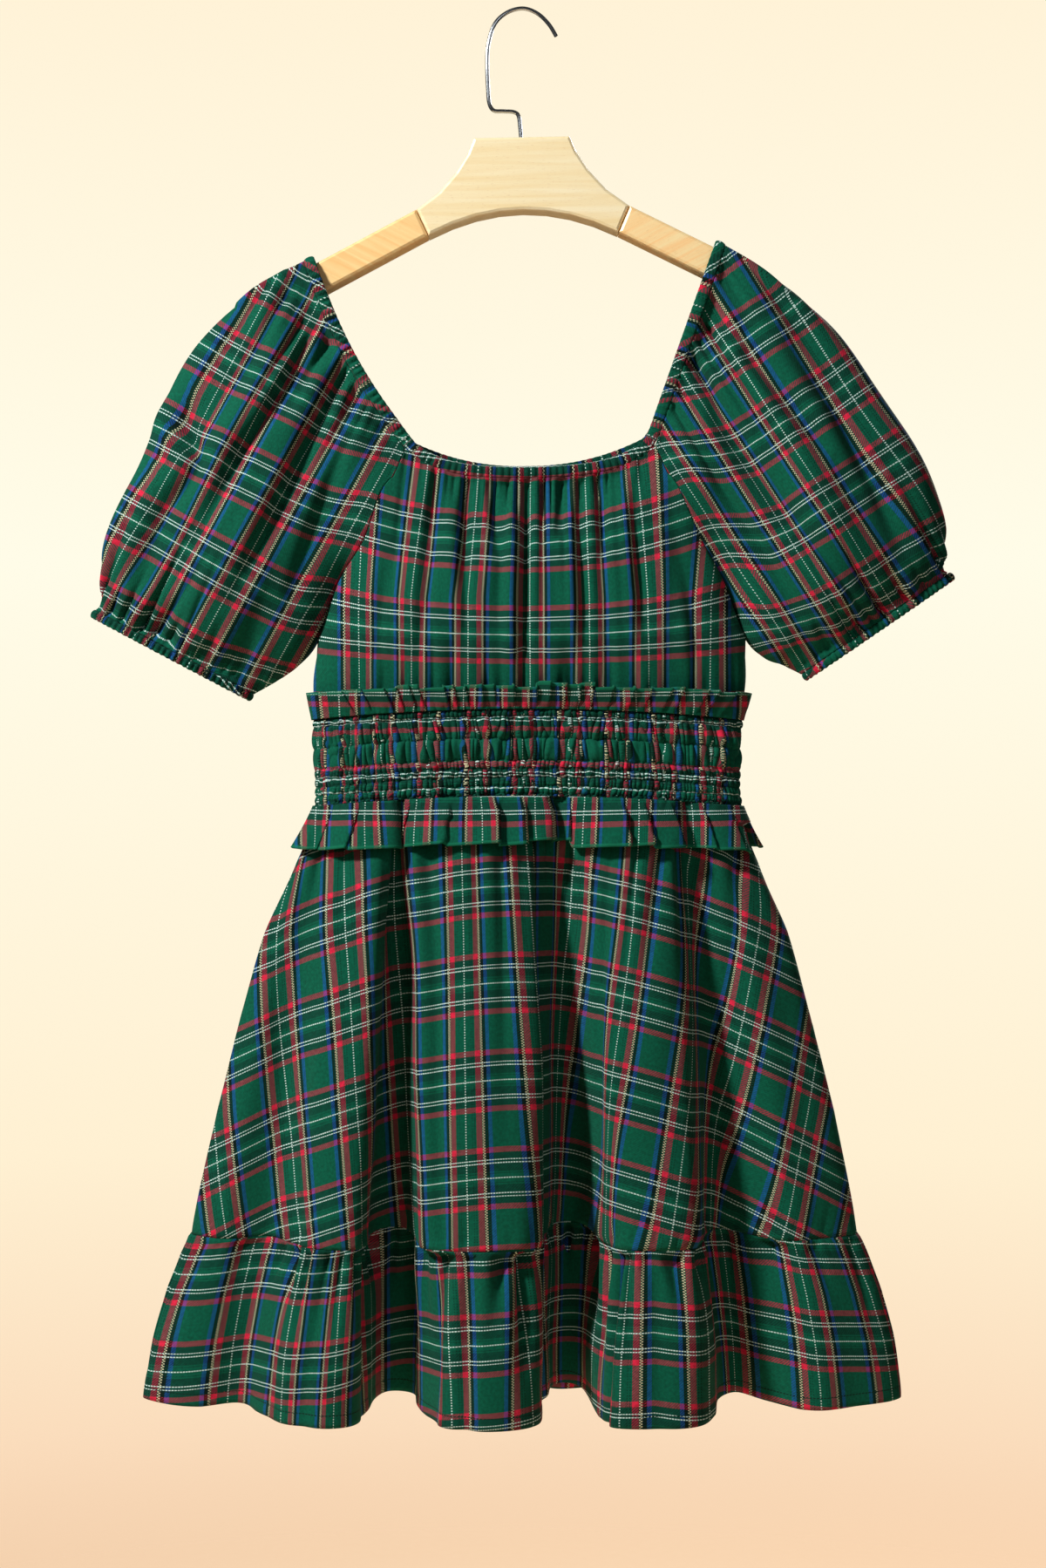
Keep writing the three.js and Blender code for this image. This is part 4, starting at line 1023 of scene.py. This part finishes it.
# %% Sew the frills
UPPER_WHITES = ([392, 475, 532, 590, 662, 730, 794], [0, 1, 2, 3, 4, 5, 6])
LOWER_WHITES = ([367.5, 420, 480, 552, 612, 672, 732, 792, 852], [0, 1, 2, 3, 4, 5, 6, 7, 8])
# The length of a pleat's run, then how far the frill leans out, how far a pleat stands out, how much
# its edge rises and how far it laps over the next
UPPER_PLEATS, LOWER_PLEATS = (12, 3.0, 5.0, 2.6, 3.6), (27, 7.0, 7.5, 3.4, 5.5)
UPPER_LINE_ROW, LOWER_LINE_ROW = 775, 914
FRONT_NEARNESS, BACK_FRILL_FULLNESS = 1.02, 1.35
PLEAT_SPREAD, LEAST_OUT = 0.07, 1.9
FRILLS = [
    ("upper_frill_front", FRONT, UPPER_FRILL_TOP, WAIST_TOP + EDGE_GAP, 420, 18),
    ("upper_frill_back", BACK, UPPER_FRILL_TOP, WAIST_TOP + EDGE_GAP, 260, 12),
    ("lower_frill_front", FRONT, LOWER_FRILL_FOOT, WAIST_BOTTOM - EDGE_GAP, 460, 26),
    ("lower_frill_back", BACK, LOWER_FRILL_FOOT, WAIST_BOTTOM - EDGE_GAP, 300, 16),
]
for name, face, free, bound, columns, rows in FRILLS:
    upper = free > bound
    heights = np.linspace(max(free, bound), min(free, bound), rows)
    if upper:
        grid = np.stack([body_row(face, z, 0, columns) for z in heights])
    else:
        grid, _ = skirt_grid(face, heights, columns, 0.0)
    u, v = shares(grid)
    to_free = 1 - v if upper else v
    if face < 0:
        across, row = seen(grid)
        n = through(across, *(UPPER_WHITES if upper else LOWER_WHITES))
        down = (row - (UPPER_LINE_ROW if upper else LOWER_LINE_ROW)) * PIXEL / FRONT_NEARNESS
        cut = np.stack([n * WARP_REPEAT, down], -1)
    else:
        cut = unrolled(grid, BACK_FRILL_FULLNESS)
    run, lean, depth, rise, lap = UPPER_PLEATS if upper else LOWER_PLEATS
    edge_share = side_fade(u, 0.6)
    away = to_free * abs(free - bound)
    width = lengths_along(grid)
    saw, level = pleats(grid[..., 0] * (1 - PLEAT_SPREAD * to_free), run, 181 + face)
    stands = smooth(to_free / 0.4)
    relief = FRILL_OUT + to_free * lean * lerp(1, 0.5, edge_share)
    relief += stands * edge_share * depth * (saw - 0.35)
    relief += edge_share * pinches(width, away, 5.5, 1.1, 1.3, 8, 191 + face, 0.1)
    relief += edge_share * to_free * rumple(width, away, 12, 0.5, 195 + face, 1.5)
    grid = grid + evened(normals(grid), columns // 9) * np.maximum(relief, LEAST_OUT)[..., None]
    grid[..., 2] += edge_share * to_free ** 2 * rise * level
    grid[..., 0] += edge_share * stands * lap * (saw - 0.4)
    edge = np.stack([width, abs(free - bound) - away], -1)
    waist = "smocked_waist_front" if face < 0 else "smocked_waist_back"
    sew(name, grid, cut, SERGED, "gathered", [waist], edge=edge)

# %% [markdown]
# The neck and the cuffs are bound with a narrow casing round an elastic. It is a flat tube whose cloth
# is crowded into upright puckers. The strip is a grid that is rolled up: its rows go round the elastic
# and almost meet at the sewn side, and its columns go along the opening. The plaid on it carries on
# from the pieces that it binds.

# %% Elastic casings
CASING_HALF_WIDTH, CASING_HALF_THICKNESS, CASING_CORNER = 4.0, 1.3, 6.0
CUFF_HALF_WIDTH, CUFF_HALF_THICKNESS = 3.0, 1.6
NECK_STRIP_LENGTH, CUFF_STRIP_LENGTH = 1.5, 0.34
HANGER_SLOPE = 0.512
SEWN_GAP = 0.12
TUBE_SIDES, LAP_GAP, STRIP_WALL = 16, 0.03, 0.5
PUCKER_DEPTH, NECK_PUCKER, CUFF_PUCKER = 1.7, 5.0, 4.6
NECK_SCALLOP, CUFF_SCALLOP, CUFF_SPREAD = 0.06, 0.2, 1.06
NECK_POINTS, CUFF_POINTS = 900, 320


def closed_curve(points, marks, count):
    """A smooth closed line through the points, and the cut's two numbers at each place on it."""
    around = np.concatenate([points[-2:], points, points[:3]])
    lengths = lengths_along(around[:, :3])
    start, end = lengths[2], lengths[len(points) + 2]
    places = np.linspace(start, end, count, endpoint=False)
    line = np.stack([np.interp(places, lengths, around[:, k]) for k in range(around.shape[1])], -1)
    for _ in range(6):
        line = 0.25 * np.roll(line, 1, 0) + 0.5 * line + 0.25 * np.roll(line, -1, 0)
    own = lengths[2:-3]
    near = np.abs(own[None] - places[:, None]).argmin(1)
    warp = marks[near, 0] + marks[near, 2] * (places - own[near])
    return line, np.stack([warp, marks[near, 1]], -1)


def with_slope(row, cut):
    lengths = lengths_along(row)
    return np.concatenate([cut, np.gradient(cut[:, 0], lengths)[:, None]], 1)


def casing(line, ups, half_width, half_thickness, pucker, scallop, seed):
    count = len(line)
    along = np.roll(line, -1, 0) - np.roll(line, 1, 0)
    along /= np.linalg.norm(along, axis=1, keepdims=True)
    across = ups - along * (ups * along).sum(1, keepdims=True)
    across /= np.linalg.norm(across, axis=1, keepdims=True)
    out = np.cross(along, across)
    total = lengths_along(np.concatenate([line, line[:1]]))[-1]
    lengths = np.arange(count) / count * total
    ribs = round(total / pucker)
    dice = np.random.default_rng(seed)
    turns = lengths / total
    jitter = np.zeros_like(turns)
    for k in (7, 13, 29, 41):
        jitter += dice.uniform(0.1, 0.5) * np.sin(2 * np.pi * (k * turns + dice.uniform()))
    rib = 0.5 + 0.5 * np.cos(2 * np.pi * ribs * turns + jitter)
    turn = np.linspace(-1, 1, TUBE_SIDES + 1)[:, None]
    angle = np.pi * (1 - LAP_GAP) * turn
    width = half_width * (1 + scallop * (rib - 0.5))[None] * np.cos(angle)
    thick = (half_thickness + PUCKER_DEPTH * (rib - 0.58))[None] * np.sin(angle)
    tube = line[None] + across[None] * width[..., None] + out[None] * thick[..., None]
    return np.concatenate([tube, tube[:, :1]], 1), turn


def strip_cut(marks, turn, half_width, towards):
    """The plaid carries on from the bound piece, up one face of the strip and down the other."""
    marks = np.concatenate([marks, marks[:1]])
    weft = marks[:, 1][None] + towards * (half_width * 2) * (1 - np.abs(turn))
    return np.stack(np.broadcast_arrays(marks[:, 0][None], weft), -1)


# %% Sew the neck casing
above = CASING_HALF_WIDTH * (1 + NECK_SCALLOP / 2) + SEWN_GAP
TO_NECK = 1 / math.hypot(1, HANGER_SLOPE)
parts, marks = [], []
for (row, cut), way in (
    ([ends[::-1] for ends in sleeve_tops["left"]], (TO_NECK, 0, TO_NECK * HANGER_SLOPE)),
    (bodice_tops[FRONT], (0, 0, 1)),
    (sleeve_tops["right"], (-TO_NECK, 0, TO_NECK * HANGER_SLOPE)),
    (bodice_tops[BACK], (0, 0, 1)),
):
    from_start, from_end = (np.linalg.norm(row - row[k], axis=1) for k in (0, -1))
    kept = (from_start > CASING_CORNER) & (from_end > CASING_CORNER)
    parts.append(np.concatenate([row + above * np.array(way), np.tile(way, (len(row), 1))], 1)[kept])
    marks.append(with_slope(row, cut)[kept])
line, marks = closed_curve(np.concatenate(parts), np.concatenate(marks), NECK_POINTS)
neck_sizes = (CASING_HALF_WIDTH, CASING_HALF_THICKNESS, NECK_PUCKER, NECK_SCALLOP)
tube, turn = casing(line[:, :3], line[:, 3:], *neck_sizes, 201)
cut = strip_cut(marks, turn, CASING_HALF_WIDTH, -1)
flat = (NECK_STRIP_LENGTH, 4 * CASING_HALF_WIDTH * MM)
rails = ["hanger_arm_left", "hanger_arm_right"]
sew("neck_casing", tube, cut, PLAID, "gathered", rails, wall=STRIP_WALL, slot="casing_cotton", flat=flat)

# %% Sew the cuff casings
cuff_sizes = (CUFF_HALF_WIDTH, CUFF_HALF_THICKNESS, CUFF_PUCKER, CUFF_SCALLOP)
for side, sign in (("left", 1), ("right", -1)):
    body_x, body_z, out_x, out_z, _ = SLEEVES[side][-1]
    chord = np.array([out_x - body_x, 0.0, out_z - body_z])
    chord /= np.linalg.norm(chord)
    down = sign * np.array([-chord[2], 0, chord[0]])
    row, cut = sleeve_feet[side]
    loop = row + down * (CUFF_HALF_WIDTH * CUFF_SPREAD + SEWN_GAP)
    marks = with_slope(row, cut)
    loop, marks = (x[2:-2][::-1] if side == "left" else x[2:-2] for x in (loop, marks))
    line, marks = closed_curve(loop, marks, CUFF_POINTS)
    tube, turn = casing(line, np.tile(-down, (len(line), 1)), *cuff_sizes, 211)
    cut = strip_cut(marks, -turn, CUFF_HALF_WIDTH, 1)
    flat = (CUFF_STRIP_LENGTH, 4 * CUFF_HALF_WIDTH * MM)
    finish = {"wall": STRIP_WALL, "slot": "casing_cotton", "flat": flat}
    sew(f"cuff_casing_{side}", tube, cut, PLAID, "gathered", [f"sleeve_{side}"], **finish)

# %% [markdown]
# The hanger is solid beech with a satin lacquer. Beech has straight pale grain with short dark flecks,
# the rays, so the grain is a noise stretched along the wood and the flecks a second, shorter one.
# The yoke's grain lies almost level and each arm's grain follows its slope, by a Mapping node.

# %% Beech for the hanger
def beech_material(name, tilt, light, dark):
    made, tree = new_material(name)
    place = add_node(tree, TEXTURE_PLACE)
    turned = add_node(tree, MAPPING, {"Vector": place.outputs["Object"], "Rotation": (0, tilt, 0)})
    along = add_node(tree, MAPPING, {"Vector": turned.outputs[0], "Scale": (6, 60, 150)})
    streaks = {"Vector": along.outputs[0], "Scale": 1.6, "Detail": 5.0, "Distortion": 0.6}
    grain = add_node(tree, NOISE, streaks)
    fleck_place = add_node(tree, MAPPING, {"Vector": turned.outputs[0], "Scale": (260, 700, 1500)})
    fleck = add_node(tree, NOISE, {"Vector": fleck_place.outputs[0], "Scale": 1.0, "Detail": 2.0})
    fleck_range = {"Value": fleck.outputs[0], "From Min": 0.6, "From Max": 0.75, "To Max": 0.35}
    fleck_share = add_node(tree, MAP_RANGE, fleck_range)
    tone = add_node(tree, MAP_RANGE, {"Value": grain.outputs[0], "From Min": 0.3, "From Max": 0.7})
    wood = add_node(tree, MIX, {0: tone.outputs[0], 6: colour(dark), 7: colour(light)}, data_type="RGBA")
    flecked = {0: fleck_share.outputs[0], 6: wood.outputs[2], 7: colour("#cf9a62")}
    rays = add_node(tree, MIX, flecked, data_type="RGBA")
    bump = add_node(tree, BUMP, {"Height": grain.outputs[0], "Strength": 0.08, "Distance": 0.0004})
    lacquer = add_node(
        tree, PRINCIPLED,
        {"Base Color": rays.outputs[2], "Roughness": 0.42, "IOR": 1.5, "Coat Weight": 0.25,
         "Coat Roughness": 0.25, "Normal": bump.outputs[0]},
    )
    add_node(tree, MATERIAL_OUTPUT, {0: lacquer.outputs[0]})
    return made


ARM_TILT = math.atan(HANGER_SLOPE)
for node, tilt, light, dark in (
    ("hanger_yoke", 0.018, "#fbe8c0", "#f4d8a2"),
    ("hanger_arm_left", -ARM_TILT, "#ffdc9c", "#f8c07a"),
    ("hanger_arm_right", ARM_TILT, "#ffe2a8", "#ffc986"),
):
    finish = beech_material("lacquered_beech_" + node, tilt, light, dark)
    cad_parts[node].material_slots[0].material = finish
print("wood set on the hanger")

# %% [markdown]
# The hook is one bent steel wire, 3 mm thick, polished and chromed. A curve with a round bevel is the
# natural way to model a wire: its points are the bends, and the bevel makes the round section.
# It becomes a mesh with closed ends, so that its place is in its vertices.

# %% Wire hook
WIRE_RADIUS, WIRE_POINTS = 1.5, 180
HOOK_LINE = [
    (-1.4, -96.9), (-2.2, -88), (-3.4, -79.5), (-7, -76.6), (-15, -76), (-22, -75.4), (-25.4, -70),
    (-26.4, -58), (-27, -42), (-26.2, -26), (-21.4, -10.4), (-12, -1.6), (0, WIRE_RADIUS), (11, -2.4),
    (19.5, -10.5), (25, -19.5),
]


def chrome_material():
    made, tree = new_material("polished_chrome_wire")
    place = add_node(tree, TEXTURE_PLACE)
    wear = add_node(tree, NOISE, {"Vector": place.outputs["Object"], "Scale": 900.0, "Detail": 2.0})
    rough = add_node(tree, MAP_RANGE, {"Value": wear.outputs[0], "To Min": 0.08, "To Max": 0.26})
    metal = add_node(
        tree, PRINCIPLED,
        {"Base Color": colour("#c8ccd0"), "Metallic": 1.0, "Roughness": rough.outputs[0]},
    )
    add_node(tree, MATERIAL_OUTPUT, {0: metal.outputs[0]})
    return made


wire = bpy.data.curves.new("hanger_hook_wire", "CURVE")
wire.dimensions = "3D"
wire.bevel_depth = WIRE_RADIUS * MM
wire.bevel_resolution = 4
wire.use_fill_caps = True
bends = wire.splines.new("POLY")
along = np.linspace(0, len(HOOK_LINE) - 1, WIRE_POINTS)
bends.points.add(WIRE_POINTS - 1)
for point, x, z in zip(bends.points, column(HOOK_LINE, 0, along), column(HOOK_LINE, 1, along)):
    point.co = (x * MM, 0, z * MM, 1)
drawn = bpy.data.objects.new("wire_path", wire)
bpy.context.scene.collection.objects.link(drawn)
bpy.context.view_layer.update()
hook_mesh = bpy.data.meshes.new_from_object(drawn.evaluated_get(bpy.context.evaluated_depsgraph_get()))
bpy.data.objects.remove(drawn)
hook = bpy.data.objects.new("hanger_hook_wire", hook_mesh)
bpy.context.scene.collection.objects.link(hook)
hook.data.materials.clear()
hook.data.materials.append(chrome_material())
hook.data.polygons.foreach_set("use_smooth", np.ones(len(hook.data.polygons), bool))
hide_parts("hanger_hook")
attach(hook, "root")
print("hook faces", len(hook.data.polygons))

# %% [markdown]
# The studio is a pale floor under the hanging dress and a warm cream world. What the camera sees of the
# world is painted shade: darker and warmer towards the bottom, a little darker at the top. The floor fades
# out towards its rim, so no hard line shows behind the dress. A lamp from the upper left makes the folds
# read, a weak wide one in front opens the shadows, and a third from behind lights the back.

# %% Floor, world and lamps
FLOOR_Z, FLOOR_RADIUS = -1.75, 2.6
disc = bmesh.new()
bmesh.ops.create_circle(disc, cap_ends=True, cap_tris=True, segments=96, radius=FLOOR_RADIUS)
bmesh.ops.translate(disc, verts=disc.verts, vec=(0, 0, FLOOR_Z))
floor_mesh = bpy.data.meshes.new("studio_floor")
disc.to_mesh(floor_mesh)
disc.free()
floor = bpy.data.objects.new("studio_floor", floor_mesh)
bpy.context.scene.collection.objects.link(floor)
paper, tree = new_material("pale_studio_paper")
place = add_node(tree, TEXTURE_PLACE)
from_middle = {0: place.outputs["Object"], 1: (0, 0, FLOOR_Z)}
distance = add_node(tree, VECTOR_MATH, from_middle, operation="DISTANCE")
melt = add_node(
    tree, MAP_RANGE,
    {"Value": distance.outputs["Value"], "From Min": 0.7, "From Max": FLOOR_RADIUS * 0.98,
     "To Min": 1.0, "To Max": 0.0},
    interpolation_type="SMOOTHSTEP",
)
speckle = add_node(tree, NOISE, {"Vector": place.outputs["Object"], "Scale": 60.0, "Detail": 4.0})
paper_tones = {0: speckle.outputs[0], 6: colour("#f2d3ae"), 7: colour("#f5d9b6")}
tint = add_node(tree, MIX, paper_tones, data_type="RGBA")
matt = add_node(
    tree, PRINCIPLED,
    {"Base Color": tint.outputs[2], "Roughness": 0.9, "Specular IOR Level": 0.1, "Alpha": melt.outputs[0],
     "Emission Color": colour("#fbd8ae"), "Emission Strength": 0.3},
)
add_node(tree, MATERIAL_OUTPUT, {0: matt.outputs[0]})
floor.data.materials.append(paper)

world = bpy.context.scene.world or bpy.data.worlds.new("studio")
bpy.context.scene.world = world
world.use_nodes = True
world.node_tree.nodes.clear()
ray = add_node(world.node_tree, "ShaderNodeLightPath")
way = add_node(world.node_tree, TEXTURE_PLACE)
level = add_node(world.node_tree, SEPARATE, {0: way.outputs["Generated"]})
in_view = {"Value": level.outputs[2], "From Min": -0.4, "From Max": 0.4}
height_share = add_node(world.node_tree, MAP_RANGE, in_view)
# Painted shade: the camera sees the world darker and warmer towards the bottom and a little darker at the
# top.
backdrop_shade_ramp = add_node(world.node_tree, COLOUR_RAMP, {0: height_share.outputs[0]})
tones = backdrop_shade_ramp.color_ramp
tones.elements.new(0.5)
tones.elements.new(0.7)
BACKDROP_PAINTED_SHADE = [(0.1, "#f9d4b2"), (0.3, "#fff0d2"), (0.62, "#fffce8"), (0.95, "#fff1d5")]
for stop, (place, code) in zip(list(tones.elements), BACKDROP_PAINTED_SHADE):
    stop.position = place
    stop.color = colour(code)
backdrop = add_node(world.node_tree, BACKGROUND, {"Color": backdrop_shade_ramp.outputs[0], "Strength": 1.0})
glow = add_node(world.node_tree, BACKGROUND, {"Color": colour("#fbf8f4"), "Strength": 0.05})
sky = add_node(
    world.node_tree, "ShaderNodeMixShader",
    {0: ray.outputs["Is Camera Ray"], 1: glow.outputs[0], 2: backdrop.outputs[0]},
)
add_node(world.node_tree, "ShaderNodeOutputWorld", {0: sky.outputs[0]})

LAMPS = [
    ("soft_key", (-1.75, -1.4, 1.0), 0.35, 98.0, "#fbfffe"),
    ("soft_fill", (0.9, -2.4, 0.3), 1.2, 5.5, "#f6faff"),
    ("back_light", (1.3, 2.0, 0.7), 1.0, 46.0, "#fffaf4"),
]
DRESS_MIDDLE = (0, 0, -0.6)
for name, place, size, power, tint in LAMPS:
    lamp = bpy.data.lights.new(name, "AREA")
    lamp.shape = "DISK"
    lamp.size = size
    lamp.energy = power
    lamp.color = colour(tint)[:3]
    holder = bpy.data.objects.new(name, lamp)
    holder.location = place
    aim = np.array(DRESS_MIDDLE) - np.array(place)
    pitch = math.atan2(aim[2], math.hypot(aim[0], aim[1]))
    holder.rotation_euler = (math.pi / 2 + pitch, 0, math.atan2(-aim[0], aim[1]))
    bpy.context.scene.collection.objects.link(holder)
print("lamps", [lamp[0] for lamp in LAMPS])

# %% [markdown]
# The camera looks straight at the front from 1.7 m away, at the height of the picture's middle. A
# 51.8 mm lens on a 36 mm tall frame then shows 1182 mm of height at the hanger's plane, which is the
# 1799 rows of the picture at 0.657 mm each. Colours are shown plainly, with no film curve, so that
# the dyed threads keep the colours they were given.

# %% Camera and colour view
SENSOR = 36
camera = bpy.data.objects.new("front_camera", bpy.data.cameras.new("front_camera"))
camera.data.lens = SENSOR * EYE_DISTANCE / (PICTURE_ROWS * PIXEL)
camera.data.sensor_width = SENSOR
camera.location = (0, -EYE_DISTANCE * MM, EYE_Z * MM)
camera.rotation_euler = (math.pi / 2, 0, 0)
bpy.context.scene.collection.objects.link(camera)
bpy.context.scene.camera = camera
bpy.context.scene.view_settings.view_transform = "Standard"
bpy.context.scene.view_settings.look = "None"
print("lens", round(camera.data.lens, 2))

# %% Sizes, then finish
print("cloth cut in all", round(sum(sewn_area), 3), "m2")
